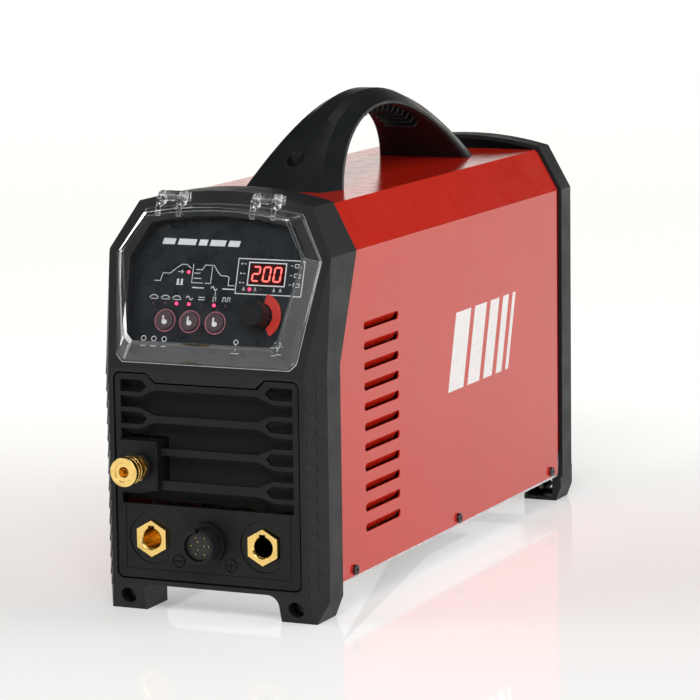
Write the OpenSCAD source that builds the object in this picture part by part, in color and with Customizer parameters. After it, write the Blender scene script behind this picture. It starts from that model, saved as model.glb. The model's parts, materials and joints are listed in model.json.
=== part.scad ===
// Inverter TIG welder: sheet-metal case between two plastic bezels, arched carrying handle, hinged
// clear cover over the control face, brass weld sockets and a gas coupling at the front, fan and
// inlets at the back.
// X runs to the right seen from the front, the front faces -Y, and the feet stand on z = 0.

/* [Body] */
// Width across the bezels
body_w = 160; // [156:1:164]
// Length from the front face to the back of the rear bezel
body_l = 461; // [450:1:480]
// Height at which the front face starts to lean back
kink_z = 163; // [162:0.5:164]
// Height of the shoulder, where the side meets the roof chamfer
shoulder_z = 237; // [234:1:239]
// Height of the flat roof
roof_z = 268; // [266:1:270]
// Width that each roof chamfer takes
chamfer_w = 17.5; // [16:0.5:19]
// Rise of the arched bezel tops
crown = 8; // [6:1:9]
// Lean of the control face in degrees
lean = 18.3; // [18:0.1:18.6]
// Wall of the plastic bezels
wall = 3; // [2.6:0.1:3.2]
// Height of the feet under the body
foot_h = 18.5; // [17:0.5:19]

/* [Sheet metal] */
// Thickness of the steel sheet
sheet = 1.2; // [1:0.1:1.2]
// Gap between the cover's skin and the bezel's outside
cover_in = 1.5; // [1.4:0.1:1.8]
// Number of louvres on each side
louvre_n = 11; // [5:1:11]
// Distance between louvres
louvre_pitch = 13.5; // [12:0.5:13.5]
// Length of a louvre
louvre_l = 57; // [40:1:60]
// Height of a louvre opening
louvre_h = 5.6; // [4:0.2:6]

/* [Handle] */
// Length of the handle along the roof
handle_l = 249; // [240:1:252]
// Height of the handle above the roof
handle_h = 59; // [56:1:60]
// Half width of the handle at its base
handle_base = 36; // [32:1:38]
// Half width of the handle at its top
handle_top = 16; // [14:1:18]

/* [Front fittings] */
// Radius of a weld socket's plug bore
socket_r = 6.5; // [6:0.1:6.6]
// Sideways place of the weld sockets
socket_x = 40.3; // [39:0.5:42]
// Height of the weld sockets
socket_z = 50; // [48:0.5:52]
// Distance between the grille slats
slat_pitch = 21.4; // [20:0.2:21.4]
// Travel of a push button
button_travel = 0.8; // [0.4:0.1:0.8]
// Travel of the gas coupling's sleeve
sleeve_travel = 3; // [1:0.5:3]

/* [Fan] */
// Outer size of the fan frame
fan_size = 120; // [110:1:120]
// Number of fan blades
blade_n = 7; // [5:1:9]

/* [Hidden] */
$fn = 96;
eps = 0.01;
fit = 0.06;
slack = 0.25;

half_w = body_w / 2;
roof_half = half_w - chamfer_w;
chamfer_a = atan(chamfer_w / (roof_z - shoulder_z));
crown_r = arc_r(roof_half, crown);
crown_cz = roof_z + crown - crown_r;
top_z = roof_z + crown;
lean_t = tan(lean);

bezel_d = 36;
bezel_shoulder_y = 64.5;
bezel_top_y = 67;
facet_w = 9.7;
facet_d = 15.4;
rear_d = 24;
rear_y = body_l - rear_d;
foot_in = 49;
foot_out = 74.5;
foot_taper_z = 14;
foot_back = 7;
foot_rise = 20;
foot_screw_x = 61;
foot_screw_z = 9.5;

cover_z = 22;
pan_z = 19.8;
pan_flange = 18;
cover_screw_z = 26.3;
cover_screw_y = [57.7, 235.5, 416.4];
louvre_y = 77;
louvre_z = 47.4;

window_half = 67;
window_z0 = 21.8;
window_z1 = 159.6;
dip_half = 36;
dip_h = 6;
panel_y = 0.7;
panel_t = 3.2;
slot_half = 62;
slat_z0 = 86.4;
slot_end_h = 3.7;
slot_mid_h = 8.3;
slot_neck = 48;
slot_wide = 37;
hole_r = 4;
plate_top_z = 72.4;
filter_y = 11;
mark_z = 36;
mark_at = [-21.6, 16.4];
collar_r = 17.2;
socket_flats = 21;
frame_in = 7;
frame_w = 0.8;

connector_y = -15.5;
connector_r = 11.2;
insert_r = 9;

boss_x = -48;
boss_z = 98.9;
boss_half = 14.5;
boss_half_h = 16.4;
boss_d = 4;
boss_collar_d = 10;
gas_x = -45;
gas_tip_y = -29;
coupling_r = 5.4;
coupling_head_r = 6.2;
coupling_nut_h = 4;

recess_s0 = 9;
recess_s1 = 72;
recess_s2 = 96;
fascia_in = 7;
fascia_t = 1.6;
board_in = 20;
board_t = 1.6;
knob_x = 31;
knob_s = 38.5;
knob_r = 9;
knob_out = 6.8;
shaft_tip = 3.6;
shaft_r = 3;
button_x = [-36, -18, 0.4];
button_s = 32.8;
button_r = 6.2;
switch_h = 2.2;
led_row_s = 44.3;
led_at = concat([for (x = [-46, -37.6, -29.3, -20.3, -11.6, -2.1, 6.5]) [x, led_row_s]],
    [[-23.2, 65.5], [22, 56], [30, 56]]);
display_x = 33.2;
display_s = 66.3;
display_w = 25.4;
display_h = 14.2;
lid_deep = 11.6;
lid_wall = 2;
hinge_s = 113.5;
hinge_out = 6.5;
hinge_x = 34;
arm_x = 7.5;
arm_w = 3.6;
knuckle_r = 3.2;
pin_r = 1.5;
pin_l = 19;

handle_y = 256;
handle_z0 = roof_z - cover_in;
handle_screw_y = [handle_y - handle_l / 2 + 11, handle_y + handle_l / 2 - 11];
band_t = 12;
band_foot = 19;
grip_extra = 7;

fan_z = 96;
fan_y = 408;
fan_d = 38;
fan_bore = 57;
fan_hub = 20;
fan_screw = fan_size * 0.4375;
axle_r = 2.5;
panel_back_y = 449;
fitting_z = 206;
switch_x = 42;
gland_x = 0;
inlet_x = -45;
rocker_tilt = 8;
gland_r = 5;
spigot_r = 4;
hose_r = 3.5;
hose_bore = 2.4;
hose_y = 15.2;

boards_z = 96;
bulkhead_y = 66;
sleeve_lip = 0.6;
spigot_end = 26.9;
front_y = -(panel_back_y + 2.1 + spigot_end + gas_tip_y - sleeve_lip) / 2;

// Extrudes a front-view outline (x, z) backwards from y0.
module along_y(y0, l) {
    translate([0, y0 + l, 0]) rotate([90, 0, 0]) linear_extrude(l) children();
}

// Extrudes a side-view outline (y, z) to the right from x0.
module along_x(x0, l) {
    translate([x0, 0, 0]) rotate([90, 0, 90]) linear_extrude(l) children();
}

module both_sides() {
    children();
    mirror([1, 0, 0]) children();
}

// The frame of the leaning control face: x as before, y into the machine, z up the slope.
module on_slope() {
    translate([0, 0, kink_z]) rotate([-lean, 0, 0]) children();
}

// A cylinder that points to the back from y = 0.
module back_cyl(r, l) {
    rotate([-90, 0, 0]) cylinder(r = r, h = l);
}

module back_ring(r, bore, l) {
    difference() {
        back_cyl(r, l);
        translate([0, -1, 0]) back_cyl(bore, l + 2);
    }
}

// Hexagonal bar that points to the back, measured across its flats.
module back_hex(flats, l) {
    rotate([-90, 0, 0]) cylinder(r = flats / 2 / cos(30), h = l, $fn = 6);
}

module round_rect(w, h, r) {
    union() {
        square([w - 2 * r, h], center = true);
        square([w, h - 2 * r], center = true);
        for (x = [-1, 1], z = [-1, 1])
            translate([x * (w / 2 - r), z * (h / 2 - r)]) circle(r = r);
    }
}

// Round-head cross-recess screw; its head faces the front and its shank points back.
module front_screw(head_r, head_h, shank_r, shank_l) {
    difference() {
        union() {
            translate([0, -head_h, 0]) back_cyl(head_r, head_h);
            back_cyl(shank_r, shank_l);
        }
        for (a = [0, 90])
            rotate([0, a, 0]) translate([-head_r * 0.6, -head_h - 1, -head_r * 0.12])
                cube([head_r * 1.2, head_h * 0.6 + 1, head_r * 0.24]);
    }
}

// One side of the body's cross-section, from low up over the chamfer; inset moves it inwards.
function side_points(inset, low) = [
    [half_w - inset, low],
    [half_w - inset, shoulder_z - inset * tan(chamfer_a / 2)],
    [half_w - inset - (top_z + 2 - shoulder_z + inset * tan(chamfer_a / 2)) * tan(chamfer_a), top_z + 2]];

function mirrored(points) =
    concat(points, [for (i = [len(points) - 1:-1:0]) [-points[i][0], points[i][1]]]);

// Bezel cross-section with its arched top.
module arched_outline(inset, low) {
    intersection() {
        polygon(mirrored(side_points(inset, low)));
        translate([0, crown_cz]) circle(r = crown_r - inset);
    }
}

// Cover cross-section with its flat roof.
module flat_outline(inset, low) {
    intersection() {
        polygon(mirrored(side_points(inset, low)));
        translate([-half_w, low - 1]) square([body_w, roof_z - inset - low + 1]);
    }
}

// The outline of both feet and the strip that joins them.
module foot_outline() {
    fillet = 7;
    difference() {
        polygon(mirrored([[foot_out, 0], [half_w, foot_taper_z], [half_w, foot_h + 6]]));
        translate([-foot_in, -1]) square([2 * foot_in, foot_h + 1 - fillet]);
        translate([-foot_in + fillet, -1]) square([2 * (foot_in - fillet), foot_h + 1]);
        for (x = [-1, 1]) translate([x * (foot_in - fillet), foot_h - fillet]) circle(r = fillet);
    }
}

function slope_y(z) = (z - kink_z) * lean_t;

// Front bezel seen from the side; set moves the front line back and the rear line further back.
module bezel_profile(set, over, low) {
    polygon([[foot_back + set, 0], [set, foot_rise], [set, kink_z], [set + slope_y(top_z + 2), top_z + 2],
        [bezel_top_y + over, top_z + 2], [bezel_top_y + over, roof_z], [bezel_shoulder_y + over, shoulder_z],
        [bezel_d + over, kink_z + 3], [bezel_d + over, 0]]);
}

// Material outside the facet that runs up each front corner.
module corner_facet() {
    run = facet_d / facet_w;
    top = shoulder_z - 2;
    translate([0, 0, -1]) linear_extrude(kink_z + 1)
        polygon([[half_w - facet_w - 1 / run, -1], [half_w + 1, -1], [half_w + 1, facet_d + run]]);
    polyhedron(
        points = [[half_w - facet_w, 0, kink_z], [half_w, facet_d, kink_z], [half_w, slope_y(top), top],
            [half_w + 2, -3, kink_z - 0.2]],
        faces = [[0, 1, 2], [0, 3, 1], [1, 3, 2], [2, 3, 0]]);
}

// Outline of the control recess on the slope.
module recess_outline(grow) {
    arch = 6;
    top_half = 51 + grow;
    r = (top_half * top_half + arch * arch) / (2 * arch);
    low_half = 59 + grow;
    mid_half = 64 + grow;
    intersection() {
        polygon(mirrored([[low_half - 5, recess_s0 - grow], [low_half, recess_s0 - grow + 5],
            [mid_half, recess_s1], [top_half, recess_s2 + grow], [top_half - 2, recess_s2 + arch + 4]]));
        translate([0, recess_s2 + grow + arch - r]) circle(r = r);
    }
}

// The opening in the bezel's face, whose top edge dips in the middle; gap makes it smaller all round.
module window_outline(gap) {
    difference() {
        translate([0, (window_z0 + window_z1) / 2])
            round_rect(2 * (window_half - gap), window_z1 - window_z0 - 2 * gap, 5 - gap);
        polygon(mirrored([[dip_half + gap, window_z1 - dip_h - gap],
            [dip_half + dip_h + 2 + gap, window_z1 + 1]]));
    }
}

module front_bezel() {
    color([0.06, 0.065, 0.07]) difference() {
        union() {
            difference() {
                intersection() {
                    along_x(-half_w, body_w) bezel_profile(0, 0, 0);
                    union() {
                        along_y(-1, bezel_top_y + 3) arched_outline(0, foot_h);
                        along_y(-1, bezel_top_y + 3) foot_outline();
                    }
                }
                both_sides() corner_facet();
                difference() {
                    intersection() {
                        along_x(-half_w, body_w) bezel_profile(wall, 5, 0);
                        along_y(wall, bezel_top_y + 3) arched_outline(wall, foot_h + wall);
                    }
                    both_sides() translate([-wall, wall, 0]) corner_facet();
                }
            }
            intersection() {
                on_slope() along_y(0.5, fascia_in + 4) recess_outline(2.4);
                along_x(-half_w + wall, body_w - 2 * wall) bezel_profile(1, 0, 0);
            }
        }
        on_slope() along_y(-5, 30) recess_outline(0);
        along_y(-1, wall + 2) window_outline(0);
        for (x = [-1, 1]) translate([x * foot_screw_x, -1, foot_screw_z]) {
            back_cyl(5.4, 17);
            back_cyl(2.2, bezel_d + 2);
        }
    }
}

module rear_bezel() {
    lip = 11;
    bevel = 5;
    color([0.06, 0.065, 0.07]) difference() {
        union() {
            along_y(rear_y, rear_d - bevel) arched_outline(0, foot_h);
            hull() {
                along_y(body_l - bevel - eps, eps) arched_outline(0, foot_h);
                along_y(body_l - eps, eps) arched_outline(bevel * 0.6, foot_h);
            }
            along_y(rear_y, rear_d) intersection() {
                foot_outline();
                square([body_w - 3, 2 * foot_h + 20], center = true);
            }
        }
        along_y(rear_y - 1, rear_d - 5) arched_outline(wall, foot_h + wall);
        along_y(rear_y, rear_d + 1) arched_outline(lip, foot_h + lip);
        both_sides() translate([foot_in + wall, rear_y - 1, wall])
            cube([foot_out - foot_in - 2 * wall, rear_d - wall, foot_h - wall - 2]);
        for (x = [-1, 1]) translate([x * foot_screw_x, body_l - 8, foot_screw_z]) back_cyl(4.6, 12);
        for (x = [-1, 1]) translate([x * foot_screw_x, rear_y - 1, foot_screw_z]) back_cyl(2.2, rear_d + 2);
        for (x = [-1, 1], z = [60, 240]) translate([x * (half_w - 9), panel_back_y, z]) back_cyl(1.7, 20);
    }
}

module louvre_slot() {
    along_x(half_w - 8, 12) translate([louvre_y + louvre_l / 2, louvre_h / 2])
        round_rect(louvre_l, louvre_h, min(2.6, louvre_h / 2 - 0.05));
}

// The strip of skin pressed inwards from the upper edge of a louvre.
module louvre_blade() {
    translate([half_w - cover_in - sheet / 2, louvre_y + 1.5, louvre_h + 0.4]) rotate([0, 34, 0])
        translate([-0.5, 0, -louvre_h - 1.4]) cube([0.9, louvre_l - 3, louvre_h + 1.4]);
}

module top_cover() {
    front_gap = 0.3;
    color([0.72, 0.05, 0.04]) difference() {
        union() {
            difference() {
                along_y(bezel_d, rear_y - bezel_d - front_gap) difference() {
                    flat_outline(cover_in, cover_z);
                    flat_outline(cover_in + sheet, cover_z - 2);
                }
                both_sides() for (i = [0:louvre_n - 1])
                    translate([0, 0, louvre_z + i * louvre_pitch]) louvre_slot();
            }
            both_sides() for (i = [0:louvre_n - 1])
                translate([0, 0, louvre_z + i * louvre_pitch]) louvre_blade();
        }
        along_x(-half_w - 1, body_w + 2) bezel_profile(-20, front_gap, 0);
        for (y = cover_screw_y, x = [-1, 1]) translate([x * half_w, y, cover_screw_z])
            rotate([0, 90, 0]) cylinder(r = 2.2, h = 12, center = true);
        for (y = handle_screw_y) translate([0, y, roof_z - 8]) cylinder(r = 2.6, h = 12);
    }
}

module base_pan() {
    inner = half_w - cover_in - sheet - 0.15;
    vent_n = 9;
    color([0.72, 0.73, 0.74]) difference() {
        union() {
            translate([-inner, bezel_d + 1, pan_z]) cube([2 * inner, rear_y - bezel_d - 2, sheet]);
            both_sides() translate([inner - sheet, bezel_d + 1, pan_z])
                cube([sheet, rear_y - bezel_d - 2, pan_flange]);
        }
        for (y = cover_screw_y, x = [-1, 1]) translate([x * inner, y, cover_screw_z])
            rotate([0, 90, 0]) cylinder(r = 2.1, h = 8, center = true);
        for (i = [0:vent_n - 1]) translate([-24, 290 + i * 12, pan_z - 1]) cube([48, 4, sheet + 2]);
    }
}

// Steel partition behind the front fittings.
module front_bulkhead() {
    inset = cover_in + sheet + 2.5;
    color([0.7, 0.71, 0.72]) difference() {
        along_y(bulkhead_y, sheet) flat_outline(inset, pan_z + sheet + 0.1);
        translate([-30, bulkhead_y - 1, 90]) cube([90, 4, 90]);
        translate([gas_x - 10, bulkhead_y - 1, fitting_z - 10]) cube([22, 4, 22]);
    }
}

module rear_panel() {
    color([0.07, 0.07, 0.075]) difference() {
        along_y(panel_back_y, 2) arched_outline(wall + 0.4, foot_h + wall + 0.4);
        translate([0, panel_back_y - 1, fan_z]) back_cyl(fan_bore, 4);
        translate([switch_x, panel_back_y + 1, fitting_z]) cube([20.6, 6, 28.6], center = true);
        translate([gland_x, panel_back_y - 1, fitting_z]) back_cyl(10.2, 4);
        translate([inlet_x, panel_back_y - 1, fitting_z]) back_cyl(5.2, 4);
        for (x = [-1, 1], z = [-1, 1]) translate([x * fan_screw, panel_back_y - 1, fan_z + z * fan_screw])
            back_cyl(2.2, 4);
        for (x = [-1, 1], z = [60, 240]) translate([x * (half_w - 9), panel_back_y - 1, z]) back_cyl(1.7, 4);
    }
}

module cover_screws() {
    color([0.05, 0.05, 0.05]) for (y = cover_screw_y, side = [-1, 1])
        translate([side * (half_w - cover_in), y, cover_screw_z]) rotate([0, 0, side * 90])
            front_screw(3.4, 1.9, 1.9, 6);
}

module bezel_screws() {
    color([0.2, 0.2, 0.21]) {
        for (x = [-1, 1]) translate([x * foot_screw_x, 16, foot_screw_z]) front_screw(3.6, 2.4, 1.9, 16);
        for (x = [-1, 1]) translate([x * foot_screw_x, body_l - 8, foot_screw_z]) rotate([0, 0, 180])
            front_screw(3.6, 2.2, 1.9, 12);
    }
}

// Radius of an arc that rises by rise over a chord of twice half.
function arc_r(half, rise) = (half * half + rise * rise) / (2 * rise);

// Disc whose top is rise above z = 0, cut off below it.
module arch(half, rise) {
    intersection() {
        translate([0, rise - arc_r(half, rise)]) circle(r = arc_r(half, rise));
        translate([-half, 0]) square([2 * half, rise + 1]);
    }
}

// Half length of the hand hole; extra thickens the band round it.
function hole_half(extra) = handle_l / 2 - band_foot - extra;

function hole_rise(extra) = handle_h - band_t - extra;

// Side view of the arched grip: a band between two arcs.
module handle_profile(extra) {
    translate([handle_y, handle_z0]) difference() {
        arch(handle_l / 2, handle_h);
        translate([0, -eps]) arch(hole_half(extra), hole_rise(extra));
    }
}

// Front view of the handle: flared feet under a narrow grip.
module handle_front() {
    polygon(mirrored([[handle_base, handle_z0], [handle_base - 1, handle_z0 + 4],
        [handle_base - 7, handle_z0 + 16], [handle_top + 7, handle_z0 + 32],
        [handle_top + 3, handle_z0 + 46], [handle_top, handle_z0 + handle_h + 1]]));
}

module handle() {
    grip_half = 13;
    groove_n = 7;
    groove_step = 5.8;
    groove_r = 6;
    under_r = arc_r(hole_half(grip_extra), hole_rise(grip_extra));
    color([0.06, 0.065, 0.07]) difference() {
        union() {
            intersection() {
                along_x(-handle_base, 2 * handle_base) handle_profile(0);
                along_y(handle_y - handle_l, 2 * handle_l) handle_front();
            }
            along_x(-grip_half, 2 * grip_half) handle_profile(grip_extra);
        }
        // Finger grooves along the underside of the grip
        for (i = [0:groove_n - 1])
            translate([-grip_half - 2, handle_y, handle_z0 + hole_rise(grip_extra) - under_r])
                rotate([(i - (groove_n - 1) / 2) * groove_step, 0, 0])
                    translate([0, 0, under_r - groove_r / 2]) rotate([0, 90, 0])
                        cylinder(r = groove_r, h = 2 * grip_half + 4);
        for (y = handle_screw_y) {
            translate([0, y, roof_z + 5]) cylinder(r = 5.6, h = 40);
            translate([0, y, roof_z - 4]) cylinder(r = 2.6, h = 20);
        }
    }
}

module handle_screws() {
    color([0.2, 0.2, 0.21]) for (y = handle_screw_y) translate([0, y, roof_z + 5]) rotate([-90, 0, 0])
        front_screw(4.6, 2.6, 2.3, 18);
}

// A grille opening between two slats, with the necks beside the forked slat ends.
module slot_shape() {
    polygon(mirrored([[slot_wide, -slot_mid_h], [slot_neck, -slot_end_h], [slot_half, -slot_end_h],
        [slot_half, slot_end_h], [slot_neck, slot_end_h], [slot_wide, slot_mid_h]]));
}

// The bullet-shaped hole inside a slat's fork.
module fork_hole() {
    union() {
        translate([slot_neck, -hole_r]) square([slot_half - slot_neck, 2 * hole_r]);
        translate([slot_neck, 0]) circle(r = hole_r);
        polygon([[slot_neck - 1, hole_r], [slot_neck - 5.5, 0], [slot_neck - 1, -hole_r]]);
    }
}

// The groove along the sides and the bottom of the socket plate.
module plate_groove() {
    low = window_z0 + frame_in;
    difference() {
        translate([0, plate_top_z / 2 + low / 2 + 2])
            square([2 * (window_half - frame_in), plate_top_z - low + 4], center = true);
        translate([0, plate_top_z / 2 + low / 2 + 2 + frame_w])
            square([2 * (window_half - frame_in - frame_w), plate_top_z - low + 4], center = true);
    }
}

module front_panel() {
    mark_r = 4.6;
    bar_w = 0.9;
    bar_l = 5.2;
    rib_half = slot_neck - hole_r - 4;
    low_neck_z = slat_z0 - slat_pitch / 2 + slot_end_h;
    rib_w = 2.4;
    color([0.06, 0.065, 0.07]) difference() {
        union() {
            along_y(panel_y, panel_t) difference() {
                window_outline(1.1);
                for (i = [0:2]) translate([0, slat_z0 + (i + 0.5) * slat_pitch]) slot_shape();
                for (i = [0:3], m = [0, 1]) translate([0, slat_z0 + i * slat_pitch])
                    mirror([m, 0]) fork_hole();
                polygon(mirrored([[slot_half, plate_top_z], [slot_half, low_neck_z],
                    [slot_neck, low_neck_z], [slot_wide, slat_z0 - slot_end_h]]));
                for (x = [-1, 1]) translate([x * socket_x, socket_z]) circle(r = collar_r);
                translate([0, socket_z]) circle(r = 9.6);
            }
            for (i = [1:3])
                translate([-rib_half, panel_y + panel_t - eps, slat_z0 + i * slat_pitch - rib_w / 2])
                    cube([2 * rib_half, 6, rib_w]);
        }
        for (x = mark_at) translate([x, panel_y - 1, mark_z]) {
            back_ring(mark_r, mark_r - bar_w, 2);
            translate([-bar_l / 2, 0, -bar_w / 2]) cube([bar_l, 2, bar_w]);
            if (x > 0) translate([-bar_w / 2, 0, -bar_l / 2]) cube([bar_w, 2, bar_l]);
        }
        along_y(panel_y - 1, 1.5) plate_groove();
        translate([boss_x, 0, boss_z]) along_y(-1, 20)
            square([2 * boss_half + 0.4, 2 * boss_half_h + 0.4], center = true);
    }
}

// Foam dust filter behind the grille openings.
module dust_filter() {
    color([0.03, 0.03, 0.03]) difference() {
        translate([-window_half + 1, filter_y, plate_top_z + 1])
            cube([2 * window_half - 2, 3, window_z1 - plate_top_z - 4]);
        translate([boss_x, 0, boss_z]) along_y(filter_y - 1, 5)
            square([2 * boss_half + 2, 2 * boss_half_h + 2], center = true);
    }
}

module gas_boss() {
    boss_wall = 2;
    nub_r = 1.7;
    color([0.06, 0.065, 0.07]) difference() {
        union() {
            translate([boss_x, 0, boss_z]) along_y(-boss_d, boss_d + 14)
                round_rect(2 * boss_half, 2 * boss_half_h, 2);
            translate([gas_x, -boss_collar_d, boss_z]) back_cyl(8.6, boss_collar_d);
            for (z = [-1, 1])
                translate([boss_x + boss_half - 2.4, -boss_d - 0.8, boss_z + z * (boss_half_h - 2.4)])
                    back_cyl(nub_r, 2);
        }
        translate([boss_x, 0, boss_z]) along_y(4, 12)
            square([2 * (boss_half - boss_wall), 2 * (boss_half_h - boss_wall)], center = true);
        translate([gas_x, -boss_collar_d - 1, boss_z]) back_cyl(6.1, 30);
    }
}

module gas_coupling_body() {
    color([0.78, 0.6, 0.25]) translate([gas_x, 0, boss_z]) difference() {
        union() {
            translate([0, gas_tip_y, 0]) back_cyl(coupling_head_r, 3);
            translate([0, gas_tip_y + 2, 0]) back_cyl(coupling_r, -gas_tip_y - boss_collar_d);
            translate([0, -boss_collar_d - coupling_nut_h, 0]) back_hex(16, coupling_nut_h);
            translate([0, -boss_collar_d, 0]) back_cyl(6, 20);
            translate([0, 5, 0]) back_hex(12.4, 4);
            translate([0, 8, 0]) back_cyl(3.4, 7);
            translate([0, 14, 0]) back_cyl(hose_bore - 0.05, 9);
        }
        translate([0, gas_tip_y - 1, 0]) back_cyl(3.6, 15);
        translate([0, gas_tip_y - 1, 0]) back_cyl(1.5, 60);
    }
}

module gas_coupling_sleeve() {
    tip = gas_tip_y - sleeve_lip;
    sleeve_l = -boss_collar_d - coupling_nut_h - 1.2 - sleeve_travel - tip;
    color([0.8, 0.62, 0.26]) translate([gas_x, tip, boss_z]) difference() {
        union() {
            back_cyl(9.6, 3.4);
            back_cyl(8.3, sleeve_l);
            for (y = [4.6, 8]) translate([0, y, 0]) back_cyl(9.4, 2.2);
        }
        translate([0, -1, 0]) back_cyl(coupling_head_r + fit, 5);
        translate([0, 3.4, 0]) back_cyl(coupling_r + 1.9, sleeve_l);
        translate([0, -1, 0]) back_cyl(coupling_r + fit, sleeve_l + 2);
    }
}

module gas_coupling_spring() {
    turns = 4;
    color([0.6, 0.61, 0.62]) translate([gas_x, 0, boss_z]) for (i = [0:turns - 1])
        translate([0, gas_tip_y + 6.2 + i * 1.9, 0]) rotate([-90, 0, 0]) rotate_extrude()
            translate([6.3, 0]) circle(r = 0.6, $fn = 16);
}

module collar() {
    difference() {
        union() {
            translate([0, panel_y + 0.9, 0]) back_cyl(collar_r - 0.15, 2.2);
            translate([0, panel_y + 0.9, 0]) back_cyl(13.8, 24);
        }
        translate([0, -1, 0]) rotate([0, 30, 0]) back_hex(socket_flats + 0.3, 7);
        translate([0, -1, 0]) back_cyl(9.15, 30);
        for (a = [45:90:315]) rotate([0, a, 0]) translate([15.2, -1, 0]) back_cyl(0.9, 3);
    }
}

module minus_collar() {
    color([0.05, 0.05, 0.055]) translate([-socket_x, 0, socket_z]) collar();
}

module plus_collar() {
    color([0.05, 0.05, 0.055]) translate([socket_x, 0, socket_z]) collar();
}

// Brass weld socket: hexagonal nose, keyed plug bore and a threaded stud.
module weld_socket() {
    key_w = 4.6;
    difference() {
        union() {
            translate([0, -2, 0]) rotate([0, 30, 0]) back_hex(socket_flats, 7.5);
            translate([0, 5, 0]) back_cyl(9, 34);
            translate([0, 38, 0]) back_cyl(5, 12);
        }
        translate([0, -3, 0]) back_cyl(socket_r, 35);
        translate([-key_w / 2, -3, 0]) cube([key_w, 12, socket_r + 2.2]);
        translate([0, -3, 0]) rotate([-90, 0, 0]) cylinder(r1 = socket_r + 2, r2 = socket_r, h = 2.2);
    }
}

module minus_socket() {
    color([0.8, 0.62, 0.26]) translate([-socket_x, 0, socket_z]) weld_socket();
}

module plus_socket() {
    color([0.8, 0.62, 0.26]) translate([socket_x, 0, socket_z]) weld_socket();
}

module socket_nuts() {
    color([0.75, 0.57, 0.24]) for (x = [-1, 1]) translate([x * socket_x, 25.7, socket_z]) difference() {
        back_hex(24, 6);
        translate([0, -1, 0]) back_cyl(9.05, 8);
    }
}

module connector_shell() {
    color([0.05, 0.05, 0.055]) translate([0, 0, socket_z]) difference() {
        union() {
            translate([0, connector_y, 0]) back_cyl(connector_r, -connector_y);
            translate([0, -1, 0]) back_cyl(9, 15);
            translate([0, -5, 0]) back_cyl(connector_r + 2.4, 5.4);
            for (i = [0:3]) translate([0, connector_y + 1.2 + i * 2.2, 0]) back_cyl(connector_r + 0.5, 1.1);
        }
        translate([0, connector_y - 1, 0]) back_cyl(connector_r - 1.8, 8);
        translate([0, connector_y + 2, 0]) back_cyl(insert_r + 0.1, 11.6);
        translate([0, -3, 0]) back_cyl(7.2, 20);
        translate([-1.2, connector_y - 1, connector_r - 3]) cube([2.4, 6, 4]);
    }
}

// Places of the nine contacts: three in an inner ring, six in an outer one.
function pin_at(i) = i < 4 ? [3.1 * cos(i * 120), 3.1 * sin(i * 120)]
    : [6.3 * cos(i * 60), 6.3 * sin(i * 60)];

module connector_insert() {
    color([0.07, 0.07, 0.075]) translate([0, 0, socket_z]) difference() {
        union() {
            translate([0, connector_y + 3, 0]) back_cyl(insert_r, 10);
            translate([0, connector_y + 5, 0]) back_cyl(7.1, 22);
        }
        for (i = [1:9]) translate([pin_at(i)[0], connector_y, pin_at(i)[1]]) back_cyl(0.75, 30);
    }
}

module connector_pins() {
    color([0.8, 0.64, 0.3]) translate([0, 0, socket_z]) for (i = [1:9])
        translate([pin_at(i)[0], connector_y + 4, pin_at(i)[1]]) back_cyl(0.7, 27);
}

// Printed fascia plate at the bottom of the control recess.
module control_fascia() {
    color([0.03, 0.035, 0.05]) on_slope() difference() {
        along_y(fascia_in, fascia_t) recess_outline(-0.3);
        for (x = button_x) translate([x, fascia_in - 1, button_s]) back_cyl(button_r + slack, 5);
        translate([knob_x, fascia_in - 1, knob_s]) back_cyl(4.4, 5);
        translate([display_x, 0, display_s]) along_y(fascia_in - 1, 5)
            square([display_w + 0.4, display_h + 0.4], center = true);
        for (p = led_at) translate([p[0], fascia_in - 1, p[1]]) back_cyl(1.1, 5);
    }
}

module control_board() {
    color([0.05, 0.25, 0.12]) on_slope() difference() {
        union() {
            translate([-56, board_in, 14]) cube([112, board_t, 78]);
            for (x = button_x) translate([x, board_in - switch_h, button_s]) back_cyl(2.6, switch_h + 0.8);
        }
        translate([knob_x, board_in - 1, knob_s]) back_cyl(3.4, 4);
        for (x = [-50, 50], s = [19, 87]) translate([x, board_in - 1, s]) back_cyl(1.7, 4);
    }
}

module board_standoffs() {
    color([0.7, 0.7, 0.7]) on_slope() for (x = [-50, 50], s = [19, 87])
        translate([x, fascia_in + fascia_t + 0.05, s]) {
            back_cyl(2.8, board_in - fascia_in - fascia_t - 0.1);
            back_cyl(1.6, board_in - fascia_in + 2);
        }
}

module display_module() {
    color([0.08, 0.02, 0.02]) on_slope() translate([display_x, 0, display_s])
        along_y(fascia_in + 1.4, board_in - fascia_in - 1.6) square([display_w, display_h], center = true);
}

module display_window() {
    color([0.3, 0.02, 0.02]) on_slope() translate([display_x, 0, display_s])
        along_y(fascia_in - 0.3, 1.5) square([display_w, display_h], center = true);
}

module status_leds() {
    color([0.9, 0.1, 0.08]) on_slope() for (p = led_at) translate([p[0], fascia_in - 0.2, p[1]])
        back_cyl(1, board_in - fascia_in);
}

module knob_ring() {
    ring_r = 15.4;
    ring_w = 6.2;
    ring_t = 0.6;
    arc_start = -55;
    arc_a = 130;
    color([0.75, 0.08, 0.06]) on_slope() translate([knob_x + 0.5, fascia_in - ring_t, knob_s])
        rotate([90, 0, 0]) translate([0, 0, -ring_t]) rotate([0, 0, arc_start])
            rotate_extrude(angle = arc_a) translate([ring_r - ring_w, 0]) square([ring_w, ring_t]);
}

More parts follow.
